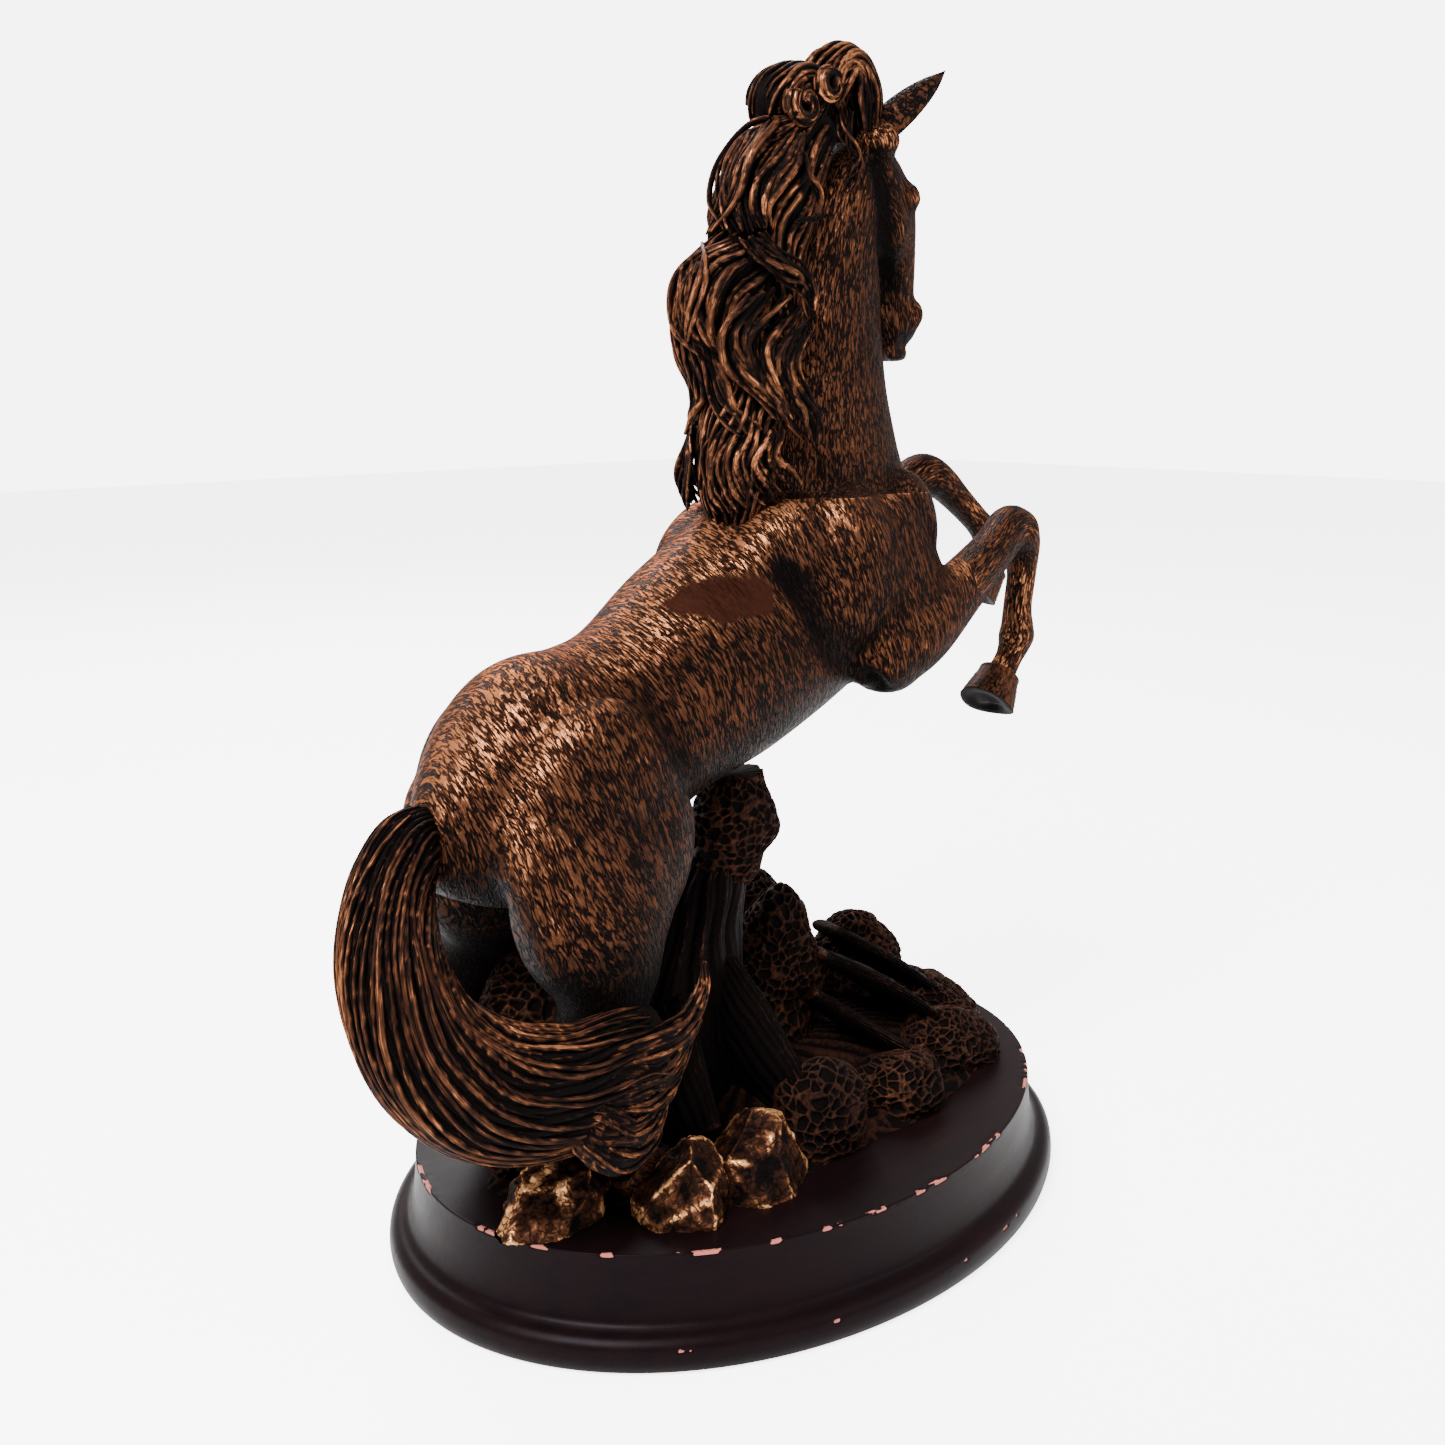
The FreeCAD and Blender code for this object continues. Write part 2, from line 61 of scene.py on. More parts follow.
def gridFaces(rows, columns, start=0, capped=True):
    # quads between neighbouring rings of a tube, closed round; each end closes on its own pole point
    r, c = np.meshgrid(np.arange(rows - 1), np.arange(columns), indexing="ij")
    nextC = (c + 1) % columns
    quads = np.stack([r * columns + c, r * columns + nextC, (r + 1) * columns + nextC, (r + 1) * columns + c],
                     -1)
    faces = (quads.reshape(-1, 4) + start).tolist()
    if capped:
        first = start + rows * columns
        last = first + 1
        end = start + (rows - 1) * columns
        faces += [[first, start + (k + 1) % columns, start + k] for k in range(columns)]
        faces += [[last, end + k, end + (k + 1) % columns] for k in range(columns)]
    return faces


def pathThrough(stations, count):
    # Catmull-Rom curve through the stations, read at even steps; every column is carried along
    p = np.array(stations, float)
    p = np.vstack([2 * p[0] - p[1], p, 2 * p[-1] - p[-2]])
    t = np.linspace(0, len(stations) - 1, count)
    i = np.clip(t.astype(int), 0, len(stations) - 2)
    f = (t - i)[:, None]
    a, b, c, d = p[i], p[i + 1], p[i + 2], p[i + 3]
    return 0.5 * (2 * b + (c - a) * f + (2 * a - 5 * b + 4 * c - d) * f**2 + (3 * b - a - 3 * c + d) * f**3)


def uprightFrames(centres):
    # tangent, across (level as far as it can be) and upward for each point of a path
    tangent = np.gradient(centres, axis=0)
    tangent /= np.linalg.norm(tangent, axis=1)[:, None] + 1e-9
    across = np.array([0.0, 1.0, 0.0]) - tangent * tangent[:, 1:2]
    across /= np.linalg.norm(across, axis=1)[:, None] + 1e-9
    return tangent, across, np.cross(across, tangent)


def lengthsAlong(centres):
    return np.concatenate([[0], np.cumsum(np.linalg.norm(np.diff(centres, axis=0), axis=1))])


def tubePoints(path, around, offset=None):
    # ovals along the path: centre + upward * (depth + offset) * cos + across * (width + offset) * sin
    centres, depth, width = path[:, :3], path[:, 3:4], path[:, 4:5]
    tangent, across, upward = uprightFrames(centres)
    angle = np.linspace(0, tau, around, endpoint=False)[None, :]
    extra = np.zeros((len(path), around)) if offset is None else offset
    up = (np.maximum(depth, 0.05) + extra) * np.cos(angle)
    side = (np.maximum(width, 0.05) + extra) * np.sin(angle)
    ring = centres[:, None] + upward[:, None] * up[..., None] + across[:, None] * side[..., None]
    poles = np.vstack([centres[0] - tangent[0] * 0.02, centres[-1] + tangent[-1] * 0.02])
    return np.vstack([ring.reshape(-1, 3), poles])


def tube(name, stations, steps=60, around=48):
    path = pathThrough(stations, steps)
    return meshFrom(name, tubePoints(path, around), gridFaces(steps, around))


def ovalBall(name, centre, radii, turn=0.0):
    # a ball stretched along X, Y, Z and turned about Y
    lat = np.linspace(0.02, math.pi - 0.02, 22)[:, None]
    lon = np.linspace(0, tau, 32, endpoint=False)[None, :]
    p = np.stack([np.sin(lat) * np.cos(lon), np.sin(lat) * np.sin(lon), np.cos(lat) + 0 * lon],
                 -1).reshape(-1, 3)
    p = np.vstack([p, [0, 0, 1], [0, 0, -1]]) * radii
    c, s = math.cos(turn), math.sin(turn)
    p = p @ np.array([[c, 0, -s], [0, 1, 0], [s, 0, c]])
    faces = [f[::-1] for f in gridFaces(22, 32)]
    return meshFrom(name, p + centre, faces)


def joined(name, objects):
    # one object from several, the sources removed
    bm = bmesh.new()
    for o in objects:
        bm.from_mesh(o.data)
        bpy.data.objects.remove(o)
    mesh = bpy.data.meshes.new(name)
    bm.to_mesh(mesh)
    bm.free()
    return placed(name, mesh)


def finished(obj, *modifiers):
    # adds modifiers given as (type, settings) and bakes them into the mesh
    for kind, settings in modifiers:
        m = obj.modifiers.new(kind, kind)
        for key, value in settings.items():
            setattr(m, key, value)
    depsgraph = bpy.context.evaluated_depsgraph_get()
    mesh = bpy.data.meshes.new_from_object(obj.evaluated_get(depsgraph))
    obj.modifiers.clear()
    obj.data = mesh
    return obj


def readPoints(obj):
    p = np.empty(len(obj.data.vertices) * 3)
    obj.data.vertices.foreach_get("co", p)
    return p.reshape(-1, 3) / mm


def writePoints(obj, p):
    obj.data.vertices.foreach_set("co", (p * mm).ravel())
    obj.data.update()


def readNormals(obj):
    n = np.empty(len(obj.data.vertices) * 3)
    obj.data.vertices.foreach_get("normal", n)
    return n.reshape(-1, 3)


def keep(obj, name, values):
    # a per-point value for the materials: a number, or three
    values = np.asarray(values, float)
    kind = "FLOAT_VECTOR" if values.ndim == 2 else "FLOAT"
    a = obj.data.attributes.new(name, kind, "POINT")
    a.data.foreach_set("vector" if values.ndim == 2 else "value", values.ravel())


def smoothStep(x, low, high):
    t = np.clip((x - low) / (high - low), 0, 1)
    return t * t * (3 - 2 * t)


def hashNoise(cells, seed):
    # a repeatable random number from 0 to 1 for each whole-number cell
    h = np.sin(cells @ np.array([127.1, 311.7, 74.7]) + seed * 57.3) * 43758.5453
    return h - np.floor(h)


def valueNoise(p, size, seed=0):
    # smooth random field with lumps about size mm across, from -1 to 1
    q = p / size
    base = np.floor(q)
    f = q - base
    f = f * f * (3 - 2 * f)
    total = np.zeros(len(p))
    for dx in (0, 1):
        for dy in (0, 1):
            for dz in (0, 1):
                share = np.abs(1 - dx - f[:, 0]) * np.abs(1 - dy - f[:, 1]) * np.abs(1 - dz - f[:, 2])
                total += share * hashNoise(base + [dx, dy, dz], seed)
    return total * 2 - 1


def poreField(p, size, seed=0):
    # distances in mm to the nearest and second nearest of scattered seeds, one in each cube of the given size
    q = p / size
    base = np.floor(q)
    near = np.full(len(p), 9.0)
    second = np.full(len(p), 9.0)
    for dx in (-1, 0, 1):
        for dy in (-1, 0, 1):
            for dz in (-1, 0, 1):
                cell = base + [dx, dy, dz]
                spot = cell + np.stack([hashNoise(cell, seed + k) for k in (1, 2, 3)], -1)
                d = np.linalg.norm(q - spot, axis=1)
                second = np.minimum(second, np.maximum(near, d))
                near = np.minimum(near, d)
    return near * size, second * size


def proud(p, normals, cell):
    # how far each point stands out of the average of the points round it, in cells: ridges above 0, grooves
    # below
    i = ((p - p.min(0)) / cell).astype(int) + 2
    size = i.max(0) + 3
    flat = np.ravel_multi_index(i.T, size)
    sums = []
    for weight in (None, p[:, 0], p[:, 1], p[:, 2]):
        total = np.bincount(flat, weight, int(np.prod(size))).reshape(size).astype(float)
        for axis in range(3):
            total = total + 0.7 * (np.roll(total, 1, axis) + np.roll(total, -1, axis))
        sums.append(total.ravel()[flat])
    mean = np.stack(sums[1:], -1) / sums[0][:, None]
    return np.sum((p - mean) * normals, axis=1) / cell


def keepRelief(obj, cell=1.5, low=-0.30, high=0.50, shade=1.0):
    # the ridge value that the bronzes read: 0 at the foot of a groove, 1 on a crest
    value = smoothStep(proud(readPoints(obj), readNormals(obj), cell), low, high)
    keep(obj, "ridge", value * shade)


# materials
patina = dict(recess=(0.0020, 0.0015, 0.0016, 1), brown=(0.020, 0.0080, 0.0048, 1),
              mid=(0.080, 0.0300, 0.0140, 1),
              copper=(0.36, 0.138, 0.060, 1), touchUp=(0.016, 0.0050, 0.0030, 1), metal=0.75)


def node(tree, kind, **values):
    n = tree.nodes.new(kind)
    for key, value in values.items():
        if key in n.inputs:
            n.inputs[key].default_value = value
        else:
            setattr(n, key, value)
    return n


def ramp(tree, source, stops):
    n = tree.nodes.new("ShaderNodeValToRGB")
    tree.links.new(source, n.inputs["Fac"])
    e = n.color_ramp.elements
    e[0].position, e[0].color = stops[0]
    e[1].position, e[1].color = stops[-1]
    for position, colour in stops[1:-1]:
        e.new(position).color = colour
    return n.outputs["Color"]


def calc(tree, operation, a, b=0.5, clamp=False):
    n = tree.nodes.new("ShaderNodeMath")
    n.operation = operation
    n.use_clamp = clamp
    for socket, value in zip(n.inputs, (a, b)):
        if isinstance(value, (int, float)):
            socket.default_value = value
        else:
            tree.links.new(value, socket)
    return n.outputs[0]


def grey(v):
    return (v, v, v, 1)


def noise(tree, at, **values):
    n = node(tree, "ShaderNodeTexNoise", **values)
    tree.links.new(at, n.inputs["Vector"])
    return n.outputs["Fac"]


def attribute(tree, name, output="Fac"):
    return node(tree, "ShaderNodeAttribute", attribute_name=name).outputs[output]


def painted(tree, share, base, over):
    # a constant colour laid over the base by share
    n = node(tree, "ShaderNodeMix", data_type="RGBA")
    tree.links.new(share, n.inputs[0])
    tree.links.new(base, n.inputs[6])
    n.inputs[7].default_value = over
    return n.outputs[2]


def bumped(tree, shader, height, strength, distance):
    n = node(tree, "ShaderNodeBump", Strength=strength, Distance=distance)
    tree.links.new(height, n.inputs["Height"])
    tree.links.new(n.outputs[0], shader.inputs["Normal"])


def newLook(name, **values):
    # a material with its shader, and the Object coordinates that its patterns read
    material = bpy.data.materials.new(name)
    material.use_nodes = True
    tree = material.node_tree
    tree.nodes.clear()
    shader = node(tree, "ShaderNodeBsdfPrincipled", **values)
    tree.links.new(shader.outputs[0], node(tree, "ShaderNodeOutputMaterial").inputs[0])
    return material, tree, shader, node(tree, "ShaderNodeTexCoord").outputs["Object"]


def bronze(name, strokes=1.0, strokeBump=0.5, ridgeShare=0.0, rubLow=0.50, rubHigh=0.74, wear=0.35,
           rough=0.42,
           copper=patina["copper"], sharp=0.08):
    # patinated bronze: black in the hollows, brown between, copper where raised hair or ridges are rubbed; on
    # the horse's skin the ridge value also carries a painted highlight and painted shade
    material, tree, shader, place = newLook(name, **{"Specular IOR Level": 0.05,
                                                     "Specular Tint": (0.30, 0.16, 0.11, 1)})
    link = tree.links.new
    hairAt = attribute(tree, "hairCo", "Vector")
    # hair strokes: noise stretched along the coat by the hair coordinates
    hair = noise(tree, hairAt, Scale=1.0, Detail=2.5, Roughness=0.55, Distortion=0.35)
    fine = noise(tree, hairAt, Scale=2.3, Detail=2.0, Roughness=0.5, Distortion=0.2)
    patch = noise(tree, place, Scale=55.0, Detail=4.0, Roughness=0.6)
    speck = noise(tree, place, Scale=900.0, Detail=3.0, Roughness=0.6)
    # a groove wherever the stretched noise crosses its middle, so that strokes are parted by thin dark lines
    groove = calc(tree, "ABSOLUTE", calc(tree, "SUBTRACT", hair, 0.5))
    groove = calc(tree, "MULTIPLY", groove, 11.0, clamp=True)
    strokeHeight = calc(tree, "ADD", calc(tree, "MULTIPLY", groove, 0.5 * strokes),
                        calc(tree, "MULTIPLY", fine, 0.5 * strokes))
    ridgeHeight = calc(tree, "MULTIPLY", attribute(tree, "ridge"), ridgeShare)
    worn = calc(tree, "MULTIPLY", calc(tree, "SUBTRACT", patch, 0.5), wear)
    level = calc(tree, "ADD", calc(tree, "ADD", strokeHeight, ridgeHeight), worn)
    level = calc(tree, "ADD", level, calc(tree, "MULTIPLY", calc(tree, "SUBTRACT", speck, 0.5), 0.10))
    black = max(rubLow - sharp, 0.0)
    stops = [(black, patina["recess"]), (rubLow, patina["brown"]), ((rubLow + rubHigh) / 2, patina["mid"]),
             (rubHigh, copper)]
    link(ramp(tree, level, [(black, grey(0)), (rubHigh, grey(patina["metal"]))]), shader.inputs["Metallic"])
    touched = attribute(tree, "touchUp")
    link(painted(tree, touched, ramp(tree, level, stops), patina["touchUp"]), shader.inputs["Base Color"])
    strokeHeight = calc(tree, "MULTIPLY", strokeHeight, calc(tree, "SUBTRACT", 1.0, touched))
    link(ramp(tree, level, [(0.3, grey(rough + 0.16)), (0.75, grey(rough - 0.06))]),
         shader.inputs["Roughness"])
    height = calc(tree, "ADD", strokeHeight, calc(tree, "MULTIPLY", speck, 0.10))
    bumped(tree, shader, height, 1.0, 0.001 * strokeBump)
    return material


def coated(obj, material):
    obj.data.materials.clear()
    obj.data.materials.append(material)
    return obj


coat = bronze("bronzeCoat", strokeBump=0.70, ridgeShare=0.24, rubLow=0.72, rubHigh=1.16, wear=0.36,
              sharp=0.22,
              copper=(0.31, 0.122, 0.054, 1))
maneBronze = bronze("bronzeMane", strokes=0.36, strokeBump=0.35, ridgeShare=0.60, rubLow=0.62, rubHigh=0.96,
                    wear=0.55, rough=0.36, sharp=0.20, copper=(0.42, 0.155, 0.064, 1))
foamBronze = bronze("bronzeFoam", strokes=0.22, strokeBump=0.3, ridgeShare=0.50, rubLow=0.52, rubHigh=0.98,
                    wear=0.50, rough=0.46, sharp=0.24)
rockBronze = bronze("bronzeRock", strokes=0.30, strokeBump=0.45, ridgeShare=0.45, rubLow=0.38, rubHigh=0.62,
                    copper=(0.72, 0.36, 0.15, 1), rough=0.34, sharp=0.20)
hoofBronze = bronze("bronzeHoof", strokes=0.35, strokeBump=0.15, ridgeShare=0.35, rubLow=0.42, rubHigh=0.80)
print("materials ready")

# the horse's skin
# stations of every limb: x, y, z above the deck, half depth, half width, mm
skin = dict(
    torso=[(-95, 0, 86, 4, 5), (-90, 0, 87, 12, 12), (-79, 0, 91, 22, 20), (-62, 0, 99, 29.5, 25),
           (-46, 0, 104.5, 26.5, 23.5), (-32, 0, 110.5, 25, 23.5), (-11, 0, 121, 28.8, 26),
           (14, 0, 132.5, 30.5, 24.5), (35, 0, 138.5, 27, 21.5), (48, 0, 141, 18.5, 15.5),
           (55, 0, 141, 8, 8)],
    neck=[(28, 0, 140, 28, 20), (28.5, 0, 160, 28.5, 19.5), (28.5, 0, 174, 25.5, 17),
          (29.5, 0, 190, 20.5, 14.5), (31.5, 0, 208, 17, 12), (35, 0, 224, 14.5, 10.5), (39, 0, 237, 12, 9.5),
          (43, 0, 246, 7, 7)],
    head=[(38, 0, 247, 5, 6), (44, 0, 241, 11, 9), (49.5, 0, 231, 13, 9.3), (53.5, 0, 220, 10.2, 7.6),
          (56.5, 0, 210, 7.6, 5.8), (58.5, 0, 203, 6.8, 5.6), (59.5, 0, 197.5, 5.2, 4.6),
          (59.6, 0, 194.5, 2.5, 2.5)],
    hind=[(-57, -10, 108, 12, 6), (-60, -14, 100, 19, 10.5), (-62, -20, 90, 24, 13),
          (-63, -22, 78, 22.5, 12.5), (-64, -24, 67, 18.5, 11), (-64, -25, 57, 14, 9.5),
          (-67, -25, 48, 10, 8), (-74, -25, 40, 7, 6), (-77, -25, 33, 6.8, 5.3), (-73, -25, 25, 4.6, 4.2),
          (-66, -25, 16.5, 4.4, 4.2), (-62, -25, 12, 5.4, 5.2), (-58.5, -25, 9, 4.6, 4.5)],
    shoulder=[(6, -10, 154, 8, 5), (14, -13, 149, 15, 9), (27, -16, 141, 21, 12), (38, -18, 132, 20, 12.5),
              (33, -21, 120, 14, 10.5), (27, -22, 113, 6, 6)],
    rightArm=[(28, -20, 121, 8, 6), (35, -23, 122.5, 11.5, 8.5), (44, -24.5, 126, 10.8, 8.5),
              (60, -23.5, 134, 8.2, 7), (76, -22, 143, 6.6, 6), (86, -20.5, 149, 6.4, 6),
              (92.5, -19.5, 145, 5.8, 5.8), (94.5, -19, 136, 4.5, 4.3), (94.5, -18, 125, 4.3, 4.2),
              (96, -17, 116.5, 5.3, 4.9), (94, -16, 110, 4, 4), (91, -15, 104.5, 4.6, 4.4)],
    leftArm=[(28, 20, 123, 8, 6), (35, 23.5, 128, 11.5, 8.5), (50, 22, 136, 10, 8), (68, 19, 148, 8, 7),
             (84, 17, 159, 6.6, 6), (91, 16, 162, 6.4, 6), (98, 15, 159.5, 5.4, 5.2),
             (107, 14.5, 153, 4.5, 4.4), (116, 14, 146, 4.3, 4.2), (121, 13.5, 141, 5.2, 4.9),
             (122, 13, 136, 4, 4), (121, 13, 131, 4.6, 4.4)],
    # muscles and bony points: centre, radii, turn about Y
    muscles=[((51, 9, 133), (9.5, 8.5, 15), 0.2), ((2, 0, 153.5), (21, 7, 9), -0.55),
             ((-77, 12, 93), (11, 11, 15), 0.2), ((-66, 20, 72), (17, 12, 24), -0.35),
             ((42, 5.5, 231), (9, 4.4, 10.5), 0.3), ((55.5, 7, 236.5), (4.2, 2.6, 3.2), 0.6),
             ((61.8, 3.6, 206.5), (3.2, 3, 4.2), 0.3), ((56.5, 2.2, 197.5), (4.2, 2.8, 3.4), 0.0),
             ((-80.5, 25, 36.5), (4.2, 3.4, 5.4), 0.5), ((-62, 25, 12.5), (5.6, 5.2, 4.8), 0),
             ((30, 21, 119), (9, 6, 8), -0.4), ((-48, 22, 88), (9, 8, 13), -0.3),
             ((38, 20, 146), (12, 7, 16), -0.5), ((45, 15, 150), (11, 10, 17), 0),
             ((4, 13, 146), (20, 11, 14), -0.5), ((-54, 19.5, 84), (19, 13, 26), 0.3),
             ((-60, 18.5, 94), (24, 13.5, 27), 0.2), ((24, 17, 141), (19, 13.5, 23), -0.35),
             ((44, 6, 249), (6, 5.5, 5), 0), ((47, 7.5, 228), (8, 2.8, 9), 0.2)],
    knees=[((90, -20, 147.5), (6.6, 6.4, 6.8), 0.5), ((94.5, 15.5, 161), (6.4, 6.2, 6), 0),
           ((96, -17, 116.5), (5.8, 5.2, 5), 0), ((121.3, 13.5, 141), (5.6, 5.2, 5), 0)],
    voxel=1.0, rounds=9)


def lifted(stations, side=1):
    return [(s[0], s[1] * side, s[2] + deck) + tuple(s[3:]) for s in stations]


limbs = []
for key in ("torso", "neck", "head"):
    limbs.append(tube(key, lifted(skin[key]), 90, 64))
for side in (1, -1):
    limbs.append(tube("hind", lifted(skin["hind"], side), 90, 40))
    limbs.append(tube("shoulder", lifted(skin["shoulder"], side), 50, 40))
for key in ("rightArm", "leftArm"):
    limbs.append(tube(key, lifted(skin[key]), 90, 40))
for centre, radii, turn in skin["muscles"]:
    for side in ((1, -1) if centre[1] else (1,)):
        limbs.append(ovalBall("muscle", np.array(centre) * [1, side, 1] + [0, 0, deck], radii, turn))
for centre, radii, turn in skin["knees"]:
    limbs.append(ovalBall("knee", np.array(centre) + [0, 0, deck], radii, turn))
horse = joined("horse", limbs)
horse = finished(horse, ("REMESH", dict(mode="VOXEL", voxel_size=skin["voxel"] * mm)),
                 ("SMOOTH", dict(factor=0.5, iterations=skin["rounds"])))
print("skin points", len(horse.data.vertices))


def creaseShare(p, lines, wide):
    # 1 on a crease, falling away over wide mm to each side: the nearest of points read along each line
    share = np.zeros(len(p))
    for line in lines:
        path = pathThrough(line, 40)
        near = np.full(len(p), 1e9)
        for spot in path:
            near = np.minimum(near, np.sum((p - spot) ** 2, axis=1))
        share = np.maximum(share, np.exp(-near / wide**2))
    return share


creases = dict(lines=[[(-47, 22, 149), (-43.5, 26, 139), (-38, 26, 128), (-31, 24, 118), (-30, 20, 109)],
                      [(-4, 21, 171), (2, 25, 162), (9, 26, 151), (19, 25, 142), (30, 24, 139)],
                      [(41, 5.5, 268), (43.5, 8, 258), (45, 8, 248), (49, 6, 240)],
                      [(57.5, 6.5, 224.5), (62, 5.5, 224), (66, 2, 223)]],
               wide=3.0, deep=2.6, shade=2.6)
creaseLines = [[(x, y * side, z) for x, y, z in line] for line in creases["lines"] for side in (-1, 1)]
skinPoints = readPoints(horse)
pressed = creaseShare(skinPoints, creaseLines, creases["wide"])[:, None] * creases["deep"]
writePoints(horse, skinPoints - readNormals(horse) * pressed)


def nearestOn(p, path):
    # index of the nearest path point, for each point
    best = np.full(len(p), 1e9)
    index = np.zeros(len(p), int)
    for k in range(len(path)):
        d = np.sum((p - path[k, :3]) ** 2, axis=1)
        closer = d < best
        best = np.where(closer, d, best)
        index = np.where(closer, k, index)
    return index


def placesOn(p, path):
    # how far each point lies along the path, across it and above it
    index = nearestOn(p, path)
    tangent, across, upward = uprightFrames(path[:, :3])
    d = p - path[index, :3]
    return (lengthsAlong(path[:, :3])[index] + np.sum(d * tangent[index], axis=1),
            np.sum(d * across[index], axis=1), np.sum(d * upward[index], axis=1))


coatStroke = dict(long=5.0, thin=0.86)


def hairAlong(p, path):
    # strokes run along the limb: slow along the path, quick across it
    along, across, above = placesOn(p, path)
    return np.stack([along / coatStroke["long"], across / coatStroke["thin"], above / coatStroke["thin"]], -1)


def hairAround(p, path):
    # strokes run round the barrel: quick along the spine, slow round the ribs
    along, across, above = placesOn(p, path)
    along = along + 2.2 * valueNoise(p, 22.0, 3) + 0.18 * np.abs(p[:, 1])
    return np.stack([along / coatStroke["thin"], across / coatStroke["long"], above / coatStroke["long"]], -1)


# where the castings part, mm: the arms' front plane, the neck's foot, the head's slanted plane, the hind tops
seams = dict(arm=60, armTop=212, neck=187, neckFront=61, head=(46, 0, 236), headWay=(0.98, 0, 0.2),
             headLow=213,
             headFront=62, hind=88, hindFront=-30, armReach=10, reach=8)
# each cut's point, outward normal and the region that it works in
cuts = [((seams["arm"], 0, 0), (1, 0, 0),
         lambda p: (np.abs(p[:, 0] - seams["arm"]) < seams["armReach"]) & (p[:, 2] < seams["armTop"])),
        ((0, 0, seams["neck"]), (0, 0, 1),
         lambda p: (p[:, 0] < seams["neckFront"]) & (np.abs(p[:, 2] - seams["neck"]) < seams["reach"])),
        (seams["head"], seams["headWay"],
         lambda p: (p[:, 2] > seams["headLow"]) & (p[:, 0] < seams["headFront"])),
        ((0, 0, seams["hind"]), (0, 0, 1),
         lambda p: (p[:, 0] < seams["hindFront"]) & (np.abs(p[:, 2] - seams["hind"]) < seams["reach"]))]


def castingOf(p):
    # which casting each point belongs to
    label = np.full(len(p), "horseBody", dtype=object)
    arm = (p[:, 0] > seams["arm"]) & (p[:, 2] < seams["armTop"])
    above = (p[:, 2] > seams["neck"]) & ~arm
    headSide = (p - seams["head"]) @ seams["headWay"] > 0
    label[above] = "horseNeck"
    label[above & headSide & (p[:, 2] > seams["headLow"])] = "horseHead"
    label[arm] = np.where(p[arm, 1] < 0, "rightForelegSkin", "leftForelegSkin")
    low = (p[:, 2] < seams["hind"]) & (p[:, 0] < seams["hindFront"])
    label[low] = np.where(p[low, 1] < 0, "rightHindSkin", "leftHindSkin")
    return label


whole = bmesh.new()
whole.from_mesh(horse.data)
for point, normal, region in cuts:
    whole.faces.ensure_lookup_table()
    centres = np.array([f.calc_center_median() for f in whole.faces]) / mm
    chosen = [whole.faces[i] for i in np.flatnonzero(region(centres))]
    edges = {e for f in chosen for e in f.edges}
    verts = {v for f in chosen for v in f.verts}
    bmesh.ops.bisect_plane(whole, geom=chosen + list(edges) + list(verts), plane_co=Vector(point) * mm,
                           plane_no=Vector(normal), dist=1e-6)
whole.faces.ensure_lookup_table()
labels = castingOf(np.array([f.calc_center_median() for f in whole.faces]) / mm)
castings = {}
for label in sorted(set(labels)):
    part = whole.copy()
    part.faces.ensure_lookup_table()
    bmesh.ops.delete(part, geom=[part.faces[i] for i in np.flatnonzero(labels != label)], context="FACES")
    rim = [e for e in part.edges if e.is_boundary]
    bmesh.ops.holes_fill(part, edges=rim, sides=0)
    for e in rim:
        e.smooth = False
    bmesh.ops.triangulate(part, faces=[f for f in part.faces if len(f.verts) > 4])
    mesh = bpy.data.meshes.new(label)
    part.to_mesh(mesh)
    part.free()
    mesh.polygons.foreach_set("use_smooth", [True] * len(mesh.polygons))
    castings[label] = placed(label, mesh)
whole.free()
bpy.data.objects.remove(horse)
# a touched-up patch without hair
backPatch = dict(centre=np.array([-19.0, -20.4, 166.3]), long=12.5, tall=6.0)
paths = {"horseBody": skin["torso"], "horseNeck": skin["neck"], "horseHead": skin["head"][1:],
         "rightForelegSkin": skin["rightArm"], "leftForelegSkin": skin["leftArm"],
         "rightHindSkin": skin["hind"], "leftHindSkin": skin["hind"]}
for label, obj in castings.items():
    p = readPoints(obj)
    path = pathThrough(lifted(paths[label], -1 if label == "leftHindSkin" else 1), 120)
    keep(obj, "hairCo", hairAround(p, path) if label == "horseBody" else hairAlong(p, path))
    n = readNormals(obj)
    relief = smoothStep(proud(p, n, 4.0), -0.35, 0.75)
    keyLitHighlight = smoothStep(n @ [-0.55, 0, 0.83], 0.35, 0.95) * (label == "horseBody")  # painted highlight towards the key light
    # painted shade on the faces that turn down, where the underside lies in shadow
    under = smoothStep(-n[:, 2], 0.1, 0.8)
    # darker towards the bottom, from 104 mm down to 66 mm
    darkerLow = 1 - smoothStep(p[:, 2], 66, 104)
    # the coat's ridge value: relief, plus a painted highlight, less darkening towards the bottom, painted
    # shade underneath and painted shade along the creases
    keep(obj, "ridge", relief + 0.75 * keyLitHighlight - 2.2 * darkerLow - 0.9 * under
         - creases["shade"] * creaseShare(p, creaseLines, creases["wide"]))
    q = p - backPatch["centre"]
    blot = (q @ [0.90, -0.25, -0.35] / backPatch["long"]) ** 2
    blot = blot + (q @ [0.2, 0.45, 0.87] / backPatch["tall"]) ** 2
    touched = 1 - smoothStep(blot + 0.5 * valueNoise(p, 3.5, 8), 0.8, 1.05)
    keep(obj, "touchUp", touched * (label == "horseBody"))
    coated(obj, coat)
    print(label, len(p))

# mane, tail and forelock


